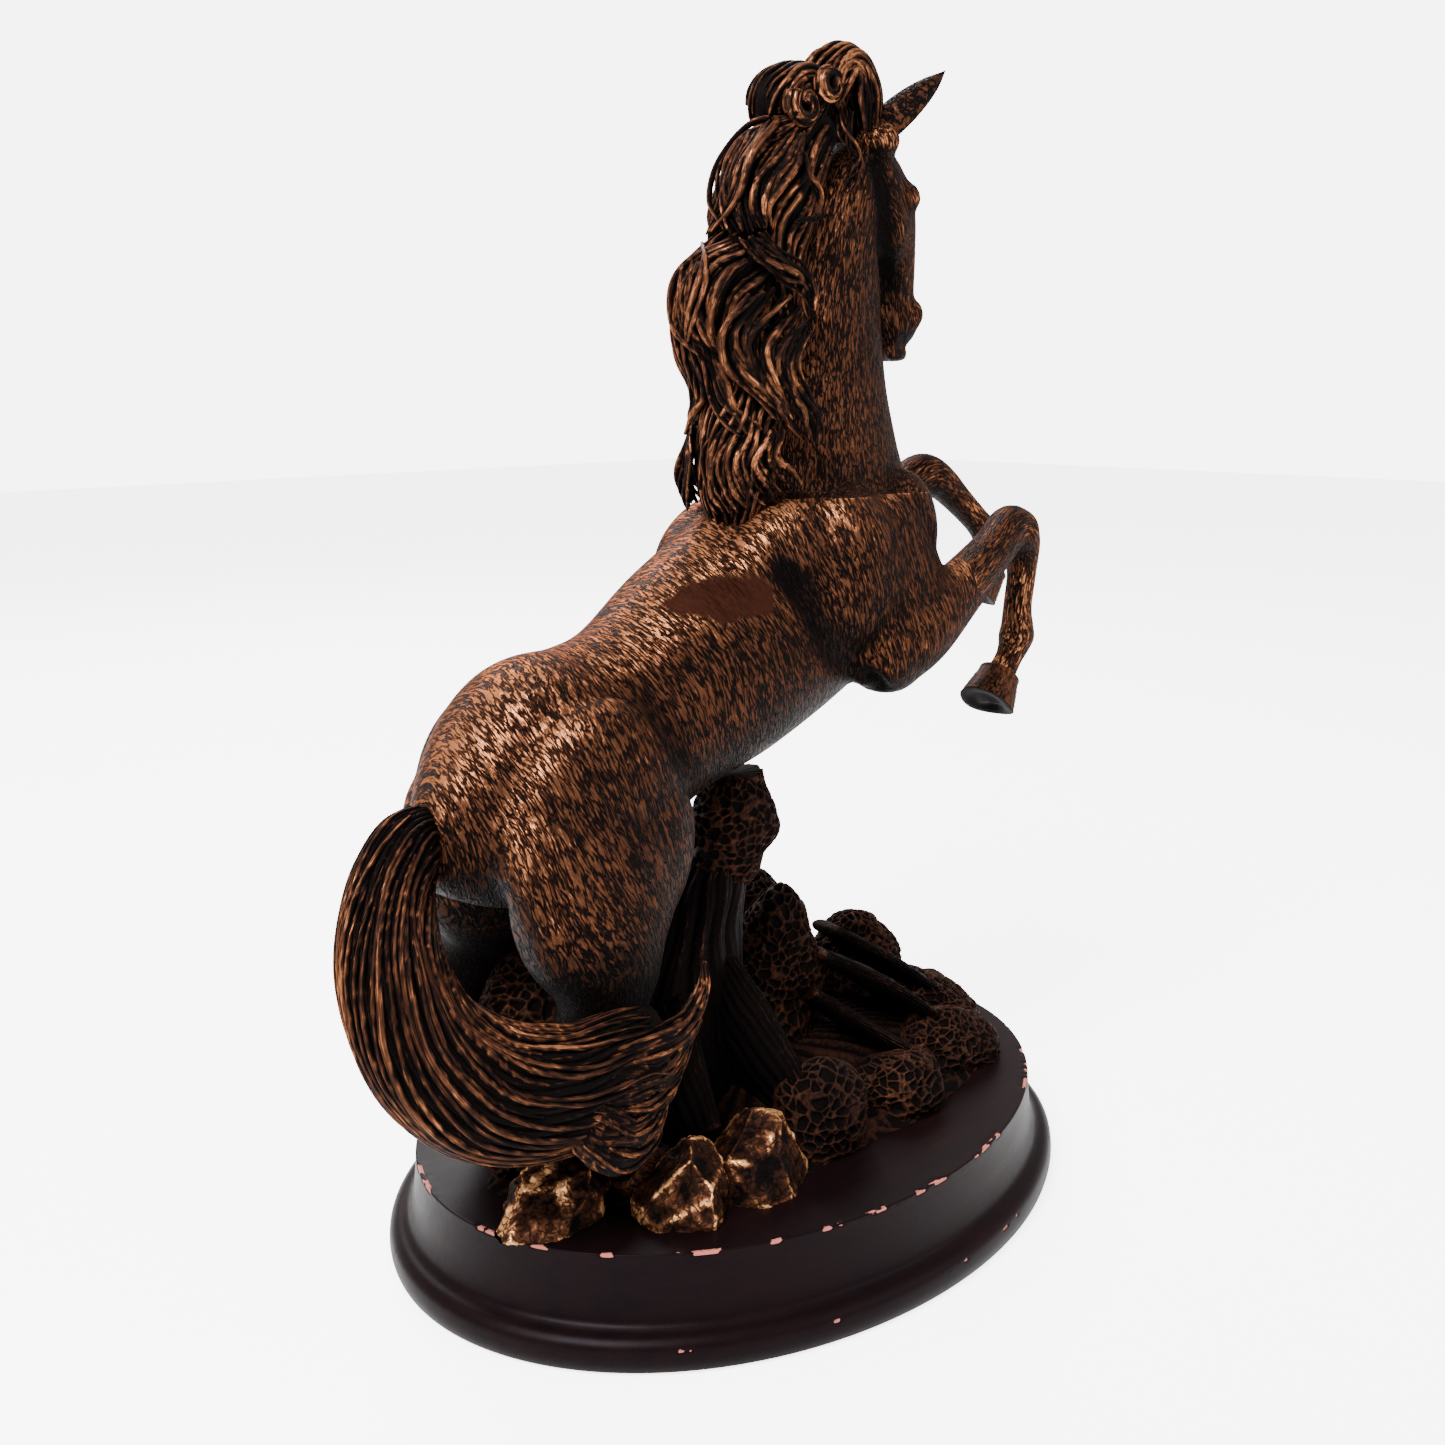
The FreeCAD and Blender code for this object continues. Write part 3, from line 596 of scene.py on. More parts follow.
def mass(stations, ridges, groove=1.3, twist=0.5, sway=0.6, seed=1, steps=130, around=200):
    # a mass of hair: an oval tube whose skin is folded into ridges that wander along it
    path = pathThrough(lifted(stations), steps)
    u = np.linspace(0, 1, steps)[:, None]
    angle = np.linspace(0, tau, around, endpoint=False)[None, :]
    wander = sway * (np.sin(tau * 1.4 * u + 2 * angle + seed)
                     + 0.5 * np.sin(tau * 3.1 * u - 3 * angle + 2.1 * seed))
    phase = ridges * (angle + twist * u) + wander
    crest = np.abs(np.cos(phase / 2)) ** 0.75
    uneven = 0.72 + 0.28 * np.sin(3 * angle + 5 * u + seed) * np.sin(tau * 1.2 * u + 4 * angle)
    small = np.abs(np.cos(phase * 1.5 + 0.8 * np.sin(tau * 2 * u + seed))) ** 0.8
    ends = smoothStep(u, 0, 0.06) * smoothStep(1 - u, 0, 0.06)
    offset = (-groove * (1 - crest) * uneven - 0.22 * groove * (1 - small)) * ends
    hair = np.stack([np.repeat(lengthsAlong(path[:, :3]) / 5.0, around),
                     (path[:, 3:4] * np.cos(angle) / 0.7).ravel(),
                     (path[:, 4:5] * np.sin(angle) / 0.7).ravel()], -1)
    return tubePoints(path, around, offset), gridFaces(steps, around), np.vstack([hair, hair[0], hair[-1]])


def strandPoints(guide, radius, seed, steps=40, around=8, wave=0.35, flat=0.75):
    # one raised lock of hair along a guide: thin at both ends, waved a little from side to side
    p = pathThrough(guide, steps)[:, :3]
    u = np.linspace(0, 1, steps)[:, None]
    tangent, across, upward = uprightFrames(p)
    p = p + across * wave * np.sin(tau * (1.3 * u + 0.17 * seed))
    p = p + upward * wave * np.sin(tau * (1.7 * u + 0.31 * seed))
    size = radius * (0.30 + 0.70 * np.sin(math.pi * np.clip(u * 0.94 + 0.05, 0, 1)) ** 0.6)
    angle = np.linspace(0, tau, around, endpoint=False)[None, :]
    ring = p[:, None] + upward[:, None] * (size * np.cos(angle))[..., None]
    ring = ring + across[:, None] * (size * flat * np.sin(angle))[..., None]
    points = np.vstack([ring.reshape(-1, 3), p[0] - tangent[0] * radius * 0.3,
                        p[-1] + tangent[-1] * radius * 0.6])
    along = np.repeat(u * 8, around, axis=1).ravel()
    hair = np.stack([along, np.tile(np.cos(angle) * 1.6, (steps, 1)).ravel() + seed * 3.7,
                     np.tile(np.sin(angle) * 1.6, (steps, 1)).ravel()], -1)
    return points, gridFaces(steps, around), np.vstack([hair, hair[0], hair[-1]])


def strandsOver(stations, count, radius, seed, span=(0.02, 0.98), sink=0.35, drift=0.6, sway=0.10, arc=(0, 1),
                **more):
    # strands that follow a mass of hair over its skin, each at its own angle and weaving a little round it
    path = pathThrough(lifted(stations), 200)
    _, across, upward = uprightFrames(path[:, :3])
    r = np.random.default_rng(seed)
    made = []
    for k in range(count):
        start = span[0] + (span[1] - span[0]) * 0.30 * r.random()
        stop = span[1] - (span[1] - span[0]) * 0.35 * r.random() ** 2
        u = np.linspace(start, stop, 16)
        angle = tau * (arc[0] + (arc[1] - arc[0]) * (k + 0.5 * r.random()) / count)
        angle = angle + drift * (u - 0.5) + sway * np.sin(tau * 1.6 * u + 0.35 * k)
        angle = angle + 0.04 * np.sin(tau * 3.3 * u + k)
        row = np.clip((u * 199).astype(int), 0, 199)
        thick = radius * (0.75 + 0.5 * r.random())
        depth = path[row, 3] + thick * (0.5 - sink)
        width = path[row, 4] + thick * (0.5 - sink)
        guide = (path[row, :3] + upward[row] * (depth * np.cos(angle))[:, None]
                 + across[row] * (width * np.sin(angle))[:, None])
        made.append(strandPoints(guide, thick, seed + k, wave=0.12, **more))
    return made


def strandsBetween(guides, count, radius, seed, **more):
    # a fan of strands whose guides are blends of the given ones
    g = [np.array(guide, float) + [0, 0, deck] for guide in guides]
    made = []
    for k in range(count):
        t = k / max(count - 1, 1) * (len(g) - 1)
        i = min(int(t), len(g) - 2) if len(g) > 1 else 0
        guide = g[0] if len(g) == 1 else g[i] + (g[i + 1] - g[i]) * (t - i)
        jitter = np.sin(np.arange(guide.size).reshape(guide.shape) * 2.39 + seed + k * 1.7) * 0.35
        thick = radius * (0.82 + 0.30 * math.sin(seed + k * 2.3))
        made.append(strandPoints(guide + jitter, thick, seed + k, **more))
    return made


def mirroredGuides(guides):
    return [[(x, -y, z) for x, y, z in g] for g in guides]


def hairPiece(name, masses, strands=(), shade=1.0):
    # one piece from masses and strands, each (points, faces, hair coordinates)
    points, faces, hair, start = [], [], [], 0
    for p, f, h in list(masses) + list(strands):
        points.append(p)
        faces += [[i + start for i in face] for face in f]
        hair.append(h)
        start += len(p)
    obj = meshFrom(name, np.vstack(points), faces)
    keepRelief(obj, 1.5, 0.0, 0.80, shade)
    keep(obj, "hairCo", np.vstack(hair))
    return coated(obj, maneBronze)


mane = dict(
    crest=[(26, -1, 252, 7, 7), (17, 1, 241, 11, 10), (10, 2, 225, 12.5, 11), (12, 2, 211, 8, 10),
           (17, 1, 201, 4, 5)],
    middle=[(12, 0, 222, 6, 7), (1, 1, 214, 11, 9), (-4, 2, 203, 12, 9), (0, 2, 190, 8.5, 9),
            (4, 1, 178, 5, 6)],
    base=[(6, -2, 192, 7, 9), (-1, -2, 177, 9, 10), (-3, -3, 162, 8, 8.5), (-4, -3, 151, 3, 4)],
    upperGuides=[[(13.5, -5, 251), (9, 4, 250), (1, 6, 242), (-3, 5, 232), (-5.5, -1.5, 225)],
                 [(12.5, -6, 249.5), (5.5, -1, 246), (-0.5, -0.5, 238.5), (-3, -2.5, 230.5), (-3.5, -6, 224)],
                 [(13, -8, 248), (6.5, -8.5, 242), (1.5, -7.5, 236), (0, -8, 230), (1, -9, 225.5)],
                 [(14.5, -9.5, 247), (11, -11, 240.5), (5.5, -10.5, 235.5), (2, -10, 230), (2, -9.5, 225.5)]],
    hookGuides=[[(12.5, -11, 243), (13.5, -12.5, 237.5), (15.5, -12.5, 233), (14.5, -12.5, 227.5),
                 (9, -12.5, 226.5)]],
    thinGuides=[[(27.5, -8, 255), (26.5, -10.5, 248), (31, -10.5, 243), (31, -10, 238.5), (27, -10.5, 236)],
                [(31, -9, 254), (29, -10.5, 247), (33.5, -10, 242), (31.5, -10, 237.5), (28, -10.5, 235)]],
    sGuides=[[(-5, -7, 222), (-2.5, -10, 218), (4, -11.5, 214), (10, -12, 211), (12, -14, 204)],
             [(1, -8.5, 224), (5, -10.5, 220), (12, -11.5, 216), (14, -13.5, 211), (13, -14.5, 206)]],
    middleGuides=[[(-6, -5, 222), (-12, 2.5, 218), (-15.5, 5, 211), (-16.5, 3, 201.5), (-13.5, -2.5, 196)],
                  [(-5.5, -8, 220), (-12.5, -3.5, 215.5), (-16, -2, 208), (-15, -4, 201), (-12, -5, 197)],
                  [(-5.5, -9.5, 217), (-10.5, -8, 212.5), (-13.5, -7, 206), (-12.5, -7, 200),
                   (-10, -7, 196)]],
    wavyGuides=[[(-4.5, -10, 209), (-12, -7.5, 201.5), (-10.5, -8, 194), (-4.5, -11, 187), (-1, -15, 181)],
                [(5, -10, 211), (-7, -10, 200), (-4.5, -11, 192), (0, -13, 186), (1, -17.5, 180)],
                [(12, -11, 207), (1, -12, 197), (1, -13.5, 188.5), (2, -17.5, 181.5), (4, -20, 176)],
                [(12, -14, 202), (6, -15.5, 193), (8, -17, 186), (11, -19.5, 180), (9, -21, 175)]],
    lowGuides=[[(-13.5, -1, 198), (-11.5, -2, 192), (-9, -2, 185), (-9, -6, 180.5), (-8, -10, 177)],
               [(-11, -5, 196.5), (-9, -6, 190), (-7.5, -7.5, 184.5), (-6, -9.5, 181), (-4, -12.5, 178)]],
    baseGuides=[[(-9.5, -5, 179), (-12.5, -2, 172), (-13, -3, 163.5), (-11.5, -5.5, 158)],
                [(-6.5, -9, 178), (-10.5, -8.5, 171), (-10, -9.5, 164), (-7, -10.5, 159)],
                [(-2, -12, 177.5), (-6.5, -12, 170.5), (-5, -12.5, 165), (-0.5, -12.5, 160)],
                [(1, -16, 178), (-0.5, -14.5, 172), (2, -16.5, 168), (5, -18.5, 165)]],
    foreGuides=[[(23, -7, 258), (30, -4, 268), (37, -4, 269), (41, -6, 261), (43, -6.5, 252)],
                [(24, -9, 257), (31, -7.5, 265.5), (36, -8, 266), (38.5, -9, 259.5), (40, -8.5, 251)],
                [(26, -9, 256), (30, -9.5, 262), (33, -9.5, 262), (35, -9.5, 256), (36, -9, 250)]])


def bothSides(guides, count, radius, seed, **more):
    return (strandsBetween(guides, count, radius, seed, **more)
            + strandsBetween(mirroredGuides(guides), count, radius, seed + 11, **more))


crestLock = hairPiece("crestLock", [mass(mane["crest"], 17, seed=2)],
                      bothSides(mane["upperGuides"], 17, 1.05, 3) + bothSides(mane["hookGuides"], 2, 0.8, 5)
                      + bothSides(mane["thinGuides"], 5, 0.6, 6, wave=0.7)
                      + strandsOver(mane["crest"], 30, 1.0, 31))
middleLock = hairPiece("middleLock", [mass(mane["middle"], 17, seed=4)],
                       bothSides(mane["middleGuides"], 13, 1.1, 8) + bothSides(mane["lowGuides"], 6, 1.0, 9)
                       + bothSides(mane["sGuides"], 7, 0.95, 10, wave=0.6)
                       + strandsOver(mane["middle"], 32, 1.0, 32))
baseLock = hairPiece("baseLock", [mass(mane["base"], 15, seed=6)],
                     bothSides(mane["baseGuides"], 13, 1.05, 12) + strandsOver(mane["base"], 26, 0.95, 33))
sideLock = hairPiece("sideLock", strandsBetween(mane["wavyGuides"], 19, 1.1, 14, wave=0.6),
                     strandsBetween(mirroredGuides(mane["wavyGuides"]), 19, 1.1, 15, wave=0.6))


def spiral(centre, start, turns, size, rise, thick, count=9):
    # stations of a curl: a coil in the X-Z plane that closes in on its middle
    t = np.linspace(0, 1, count)
    a = start + turns * tau * t
    r = size * (1 - 0.78 * t)
    return [(centre[0] + r[k] * math.cos(a[k]), centre[1] + rise * t[k], centre[2] + r[k] * math.sin(a[k]),
             thick * (0.55 + 0.45 * math.sin(math.pi * (0.25 + 0.6 * t[k]))),
             thick * 1.25 * (1 - 0.45 * t[k]))
            for k in range(count)]


curls = dict(
    poll=[spiral((20.5, -1, 256.5), 0.2, 1.25, 5.6, -5.5, 3.7, 11),
          [(15, 3, 250, 4, 5), (15, 2, 256.5, 5.5, 7.5), (21, 1, 260, 5, 7.5), (28, 0, 256, 5, 7),
           (33, -1, 250, 4, 5)]],
    small=[spiral((15.5, -7, 254), 2.4, 1.1, 4.0, -2.0, 2.2, 9),
           spiral((23.5, -7.5, 259), 0.8, 1.1, 3.6, -2.5, 2.0, 9)],
    fore=[(28, 0, 250, 5, 6), (29.5, 0, 260, 6, 7), (35, -1, 265.5, 5.5, 7), (41, -2, 260, 4.5, 6),
          (44, -2, 251, 3, 4)])
pollCurl = hairPiece("pollCurl",
                     [mass(c, 10, groove=1.1, seed=3, steps=150, around=110) for c in curls["poll"]]
                     + [mass(c, 6, groove=0.8, seed=8, steps=90, around=60) for c in curls["small"]],
                     strandsOver(curls["poll"][1], 22, 0.9, 34))
forelock = hairPiece("forelockCurl", [mass(curls["fore"], 13, seed=7)],
                     bothSides(mane["foreGuides"], 11, 0.95, 16) + strandsOver(curls["fore"], 20, 0.9, 35))

tail = dict(
    sweep=[(-90, 0, 93, 5, 5), (-97, -1, 91.5, 8, 7), (-105.5, -6, 84, 9.5, 8), (-110.5, -13, 71, 11.5, 9),
           (-109.5, -22, 56, 13, 9.3), (-99.5, -30, 44.5, 14.5, 9.3), (-84.5, -36.5, 41.5, 14.5, 8.5),
           (-70, -40, 45, 12.5, 7), (-61, -41, 48, 9, 5.5)],
    tips=7)


def tipStations(k):
    # the k-th flick of the tail's end: fanned from the top one down, each curling up to a point
    t = k / (tail["tips"] - 1)
    x, z = -47 - 15 * t, 61 - 30 * t
    wave = 1.3 * math.sin(k * 2.1)
    return [(x - 38 + 14 * t, -38, z - 14 + 19 * t, 2.4, 2.0),
            (x - 29 + 8 * t, -43, z - 13 + 13 * t + wave, 3.4, 2.6),
            (x - 18 + 2 * t, -45.5, z - 12 + 7.5 * t - wave, 3.6, 2.6),
            (x - 9, -44.5, z - 9.5 + 4 * t + wave, 3.0, 2.2),
            (x - 3, -43, z - 4 - wave, 1.9, 1.5), (x - 1, -41.5, z + 1.5, 0.4, 0.4)]


tailMass = hairPiece("tailSweep",
                     [mass(tail["sweep"], 31, groove=1.7, twist=0.55, sway=1.0, seed=9, steps=240,
                           around=320)],
                     strandsOver(tail["sweep"], 46, 0.85, 36, steps=70, drift=0.55, sway=0.12, sink=0.55))
tailTip = hairPiece("tailTip",
                    [mass(tipStations(k), 6, groove=0.9, twist=0.8, sway=0.9, seed=3 + k, steps=70, around=80)
                                for k in range(tail["tips"])],
                    [strand for k in range(tail["tips"])
                     for strand in strandsOver(tipStations(k), 5, 0.6, 50 + k, span=(0.1, 0.85))])
print("hair ready")

# ears, eyes and hooves
ear = dict(base=(45.0, -7.6, 253.2), tip=(61.0, -13.0, 266.2), facing=(-0.66, -0.72, 0.2), wide=5.2,
           thick=1.2, cup=-1.6)


def earPoints(side, rows=40, columns=28):
    # a leaf folded lengthways: a strip whose width swells and closes to a point, cupped open to the front
    base = np.array(ear["base"]) * [1, side, 1] + [0, 0, deck]
    tip = np.array(ear["tip"]) * [1, side, 1] + [0, 0, deck]
    axis = (tip - base) / np.linalg.norm(tip - base)
    outward = np.array(ear["facing"]) * [1, side, 1]
    outward -= axis * (outward @ axis)
    outward /= np.linalg.norm(outward)
    wing = np.cross(axis, outward)
    u = np.linspace(-0.22, 1, rows)[:, None]
    a = np.linspace(0, tau, columns, endpoint=False)[None, :]
    swell = (0.40 + 0.9 * np.clip(u + 0.2, 0, 1)) ** 0.6
    width = ear["wide"] * np.clip(1.15 * (1 - u) ** 0.75 * swell, 0.03, 2)
    # across the strip: cos runs edge to edge, sin gives the thickness; the edges curl towards outward
    edge = width * np.cos(a)
    folded = np.cos(a) ** 2
    through = ear["thick"] * np.sin(a) * (1 - 0.5 * folded)
    through = through + ear["cup"] * folded * np.clip(width / ear["wide"], 0, 1)
    bend = 1.6 * np.sin(math.pi * np.clip(u, 0, 1))
    p = base + axis * (u[..., None] * np.linalg.norm(tip - base)) + wing * edge[..., None]
    p = p + outward * (through + bend * 0.4)[..., None]
    poles = np.vstack([base - axis * 2, tip + axis * 0.2])
    grain = np.stack([(edge / 2.4), (u * 9) + 0 * a, 0 * edge + side], -1).reshape(-1, 3)
    grain = np.vstack([grain, grain[0], grain[-1]])
    return np.vstack([p.reshape(-1, 3), poles]), gridFaces(rows, columns), grain


ears = {}
for side, name in ((1, "rightEar"), (-1, "leftEar")):
    p, f, grain = earPoints(side)
    obj = meshFrom(name, p, f)
    keep(obj, "ridge", np.zeros(len(p)))
    keep(obj, "hairCo", grain)
    ears[name] = coated(obj, coat)

eyes = []
for side, name in ((-1, "rightEye"), (1, "leftEye")):
    eye = ovalBall(name, np.array([56.2, 7.0 * side, 236.2 + deck]), (2.6, 1.9, 2.2), 0.5)
    keep(eye, "ridge", np.zeros(len(eye.data.vertices)))
    keep(eye, "hairCo", np.zeros((len(eye.data.vertices), 3)))
    eyes.append(coated(eye, hoofBronze))

hoof = dict(top=4.9, bottom=7.0, long=1.12, tall=9.0, foreTurn=(-0.66, -0.10, -0.72), foreSize=1.15)


def hoofPoints(tip, along, rows=26, around=72):
    # a flaring wall round the pastern's line, then a flat sole with a slightly sunk middle
    along = along / np.linalg.norm(along)
    across = np.array([0, 1.0, 0]) - along * along[1]
    across /= np.linalg.norm(across)
    front = np.cross(across, along)
    u = np.concatenate([np.linspace(0, 1, rows - 8), np.full(8, 1.0)])
    shrink = np.concatenate([np.ones(rows - 8), np.linspace(0.985, 0.12, 8)])
    sunk = np.concatenate([np.zeros(rows - 8), [0.05, 0, -0.12, -0.6, -0.8, -0.7, -0.6, -0.55]])
    radius = (hoof["top"] + (hoof["bottom"] - hoof["top"]) * u ** 0.85
              + 0.35 * np.exp(-(u / 0.07) ** 2)) * shrink
    a = np.linspace(0, tau, around, endpoint=False)
    r = radius[:, None] * (1 + 0.012 * np.sin(40 * u[:, None] + 0 * a))
    x = r * hoof["long"] * np.cos(a) * np.where(np.cos(a) < 0, 0.86, 1.0)
    y = r * np.sin(a)
    z = hoof["tall"] * u[:, None] * (1 - 0.16 * (np.cos(a) < 0) * np.cos(a) ** 2) + sunk[:, None]
    pts = tip + x[..., None] * front + y[..., None] * across + z[..., None] * along
    poles = np.vstack([tip - along * 0.1, tip + along * (hoof["tall"] - 0.55)])
    ridge = np.append(np.repeat(np.where(shrink < 1, 0.15, 0.75), around), [0.5, 0.1])
    pts = pts.reshape(-1, 3)
    turns = np.stack([x.ravel() / 1.2, y.ravel() / 1.2, z.ravel() / 5], -1)
    return np.vstack([pts, poles]), gridFaces(rows, around), ridge, np.vstack([turns, turns[0], turns[-1]])


hooves = {}
for name, key, side in (("rightForeHoof", "rightArm", 1), ("leftForeHoof", "leftArm", 1),
                        ("rightHindHoof", "hind", 1),
                        ("leftHindHoof", "hind", -1)):
    s = np.array(lifted(skin[key], side))[:, :3]
    fore = "Fore" in name
    mirror = [1, 1, 1] if "right" in name else [1, -1, 1]
    axis = np.array(hoof["foreTurn"]) * mirror if fore else s[-1] - s[-2]
    start = s[-1] - (s[-1] - s[-2]) * 0.1
    p, f, ridge, turns = hoofPoints(start, axis)
    p = start + (p - start) * (hoof["foreSize"] if fore else 1)
    p[:, 2] = np.maximum(p[:, 2], deck + 0.3)
    obj = meshFrom(name, p, [x[::-1] for x in f])
    keep(obj, "ridge", ridge)
    keep(obj, "hairCo", turns)
    hooves[name] = coated(obj, hoofBronze)
print("head and hooves ready")

# wave ground, foam, stump and rocks
ground = dict(long=83, wide=48, shift=4, tall=12, pore=4.4, sunk=0.02)


def dome(name, centre, radii, look, rows=110, around=170):
    # a ball stretched to the radii, cut off flat a little under the deck, with its skin worked by
    # look(points, normals)
    lat = np.linspace(0.01, math.pi * 0.62, rows)[:, None]
    lon = np.linspace(0, tau, around, endpoint=False)[None, :]
    n = np.stack([np.sin(lat) * np.cos(lon), np.sin(lat) * np.sin(lon), np.cos(lat) + 0 * lon],
                 -1).reshape(-1, 3)
    p = n * radii + centre
    move, ridge = look(p, n)
    p = p + n * move[:, None]
    p[:, 2] = np.maximum(p[:, 2], deck - ground["sunk"])
    top = p[:around].mean(0)
    low = np.array([centre[0], centre[1], deck - ground["sunk"]])
    obj = meshFrom(name, np.vstack([p, top, low]), [f[::-1] for f in gridFaces(rows, around)])
    keep(obj, "ridge", np.append(ridge, [ridge[:around].mean(), 0]))
    keep(obj, "hairCo", np.vstack([p, top, low]) / 2.2)
    return coated(obj, foamBronze)


def foamLook(pore=2.7, deep=1.25, seed=0):
    # honeycomb: pits round scattered seeds, with raised walls where two pits meet, over bigger lumps
    def work(p, n):
        q = p + 0.8 * np.stack([valueNoise(p, 3.5, seed + k) for k in range(3)], -1)
        near, second = poreField(q, pore, seed)
        wall = np.clip((second - near) / (0.42 * pore), 0, 1)
        lump = valueNoise(p, 13.0, seed + 5) * 3.2 + valueNoise(p, 6.0, seed + 7) * 1.2
        crumb = valueNoise(p, 1.3, seed + 6) * 0.18
        return lump + crumb - deep * smoothStep(wall, 0.12, 0.75), 0.75 * (1 - smoothStep(wall, 0.1, 0.6))
    return work


foams = {}
foamShapes = {
    "foamCrestFar": ("foam_crest_far", (34, 28, 20), (15, 13, 29)),
    "foamCrestNear": ("foam_crest_near", (17, 2, 24), (14, 13, 29)),
    "foamRidge": ("foam_ridge", (60, 14, 12), (19, 15, 19)),
    "foamFront": ("foam_front", (73, -5, 4), (13, 19, 12)),
    "foamToe": ("foam_toe", (53, -29, 4), (18, 13, 12)),
    "foamRight": ("foam_right", (24, -37, 4), (16, 11, 12)),
    "foamNear": ("foam_near", (-8, -38, 6), (13, 11, 16)),
    "foamUnderRump": ("foam_under_rump", (-66, 3, 20), (19, 17, 36))}
for k, (name, (nodeName, centre, radii)) in enumerate(foamShapes.items()):
    obj = dome(name, np.array(centre) + [0, 0, deck], np.array(radii) - 0.8, foamLook(seed=k * 7 + 1))
    foams[name] = (obj, nodeName)


def rockLook(centre, seed, faces=15):
    # flat faces: each direction reaches only as far as the nearest of a few random planes
    r = np.random.default_rng(seed)
    normals = r.normal(size=(faces, 3))
    normals[:, 2] = np.abs(normals[:, 2]) * 0.8
    normals /= np.linalg.norm(normals, axis=1)[:, None]
    reach = r.uniform(0.80, 1.02, faces)

    def work(p, n):
        d = n / np.linalg.norm(n, axis=1)[:, None]
        far = np.full(len(p), 1.15)
        second = np.full(len(p), 1.15)
        for face, limit in zip(normals, reach):
            along = d @ face
            hit = np.where(along > 0.05, limit / np.maximum(along, 0.05), 9)
            second = np.minimum(second, np.maximum(far, hit))
            far = np.minimum(far, hit)
        size = np.linalg.norm(p - centre, axis=1)
        edge = 1 - smoothStep(second - far, 0.0, 0.07)
        rough = valueNoise(p, 4.0, seed) * 0.7 + valueNoise(p, 1.8, seed + 2) * 0.45
        rough = rough + valueNoise(p, 0.8, seed + 1) * 0.2
        return (far - 1) * size + rough, 0.30 + 0.45 * edge + 0.5 * rough
    return work


rocks = {}
rockShapes = {"rockLeft": ("rock_left", (-72, -17, 2), (17, 11, 10)),
              "rockMiddle": ("rock_middle", (-51, -37, 3), (11, 12, 12)),
              "rockRight": ("rock_right", (-31, -39, 3), (12, 11, 13))}
for k, (name, (nodeName, centre, radii)) in enumerate(rockShapes.items()):
    c = np.array(centre) + [0, 0, deck]
    obj = dome(name, c, np.array(radii), rockLook(c, 20 + k), 90, 150)
    rocks[name] = (coated(obj, rockBronze), nodeName)


def groundPiece():
    # a low swell with fanned striations that sweep out and down to the plinth, crumbling to foam at its edge
    rows, around = 150, 420
    r = np.linspace(0, 1, rows)[1:][:, None]
    a = np.linspace(0, tau, around, endpoint=False)[None, :]
    x = ground["shift"] + ground["long"] * r * np.cos(a)
    y = ground["wide"] * r * np.sin(a) + 0 * x
    flat = np.stack([x, y, 0 * x], -1).reshape(-1, 3)
    rim = 1 + 0.04 * valueNoise(flat, 9.0, 4).reshape(x.shape)
    x, y = ground["shift"] + (x - ground["shift"]) * rim, y * rim
    uneven = 0.86 + 0.14 * valueNoise(flat, 26.0, 5).reshape(x.shape)
    swell = ground["tall"] * (1 - r ** 2.6) * uneven + 1.2
    fan = 46 * a + 5 * np.sin(3 * a + 3 * r) + 9 * r
    stripe = np.abs(np.cos(fan / 2)) ** 0.8
    near, second = poreField(flat, ground["pore"], 9)
    foam = smoothStep(np.clip((second - near) / 2.0, 0, 1), 0.1, 0.7).reshape(x.shape)
    atRim = smoothStep(r, 0.80, 0.92) + 0 * a
    z = swell + (1 - atRim) * stripe * 0.9 - atRim * foam * 1.1
    z = deck + np.maximum(z * smoothStep(1 - r, -0.02, 0.10) ** 0.5, 0)
    z[-1] = deck - ground["sunk"]
    ridge = (1 - atRim) * stripe + atRim * (1 - foam)
    points = np.vstack([np.stack([x, y, z], -1).reshape(-1, 3), [ground["shift"], 0, z[0].mean()],
                        [ground["shift"], 0, deck - ground["sunk"]]])
    obj = meshFrom("waveGround", points, [f[::-1] for f in gridFaces(rows - 1, around)])
    keep(obj, "ridge", np.append(0.6 * ridge.ravel(), [0.3, 0]))
    keep(obj, "hairCo", points / 2.5)
    return coated(obj, foamBronze)


waveGround = groundPiece()
stump = [(-20, -3, -1, 23, 16), (-20, -3, 14, 20, 14), (-20, -3, 34, 17, 11.5), (-17, -4, 52, 13, 10),
         (-12, -4, 64, 9, 8.5), (-9, -4, 73, 6, 6)]
stumpColumn = hairPiece("stumpColumn",
                        [mass(stump, 12, groove=1.8, twist=0.9, sway=1.2, seed=5, steps=140, around=160)])
capPath = [(-10, -4.5, 60, 5, 5), (-8.5, -5, 66, 9, 8.5), (-6.5, -5.5, 74, 10.5, 9.5),
           (-5.5, -5.5, 83, 10, 9.5), (-6, -5, 91, 8, 7.5)]
path = pathThrough(lifted(capPath), 90)
p = tubePoints(path, 150)
out = p - np.vstack([np.repeat(path[:, :3], 150, axis=0), path[0, :3], path[-1, :3]])
out /= np.linalg.norm(out, axis=1)[:, None] + 1e-9
move, ridge = foamLook(2.5, 1.1, 33)(p, out)
stumpCap = meshFrom("stumpCap", p + out * (move * 0.8)[:, None], gridFaces(90, 150))
keep(stumpCap, "ridge", ridge)
keep(stumpCap, "hairCo", p / 2.2)
coated(stumpCap, foamBronze)

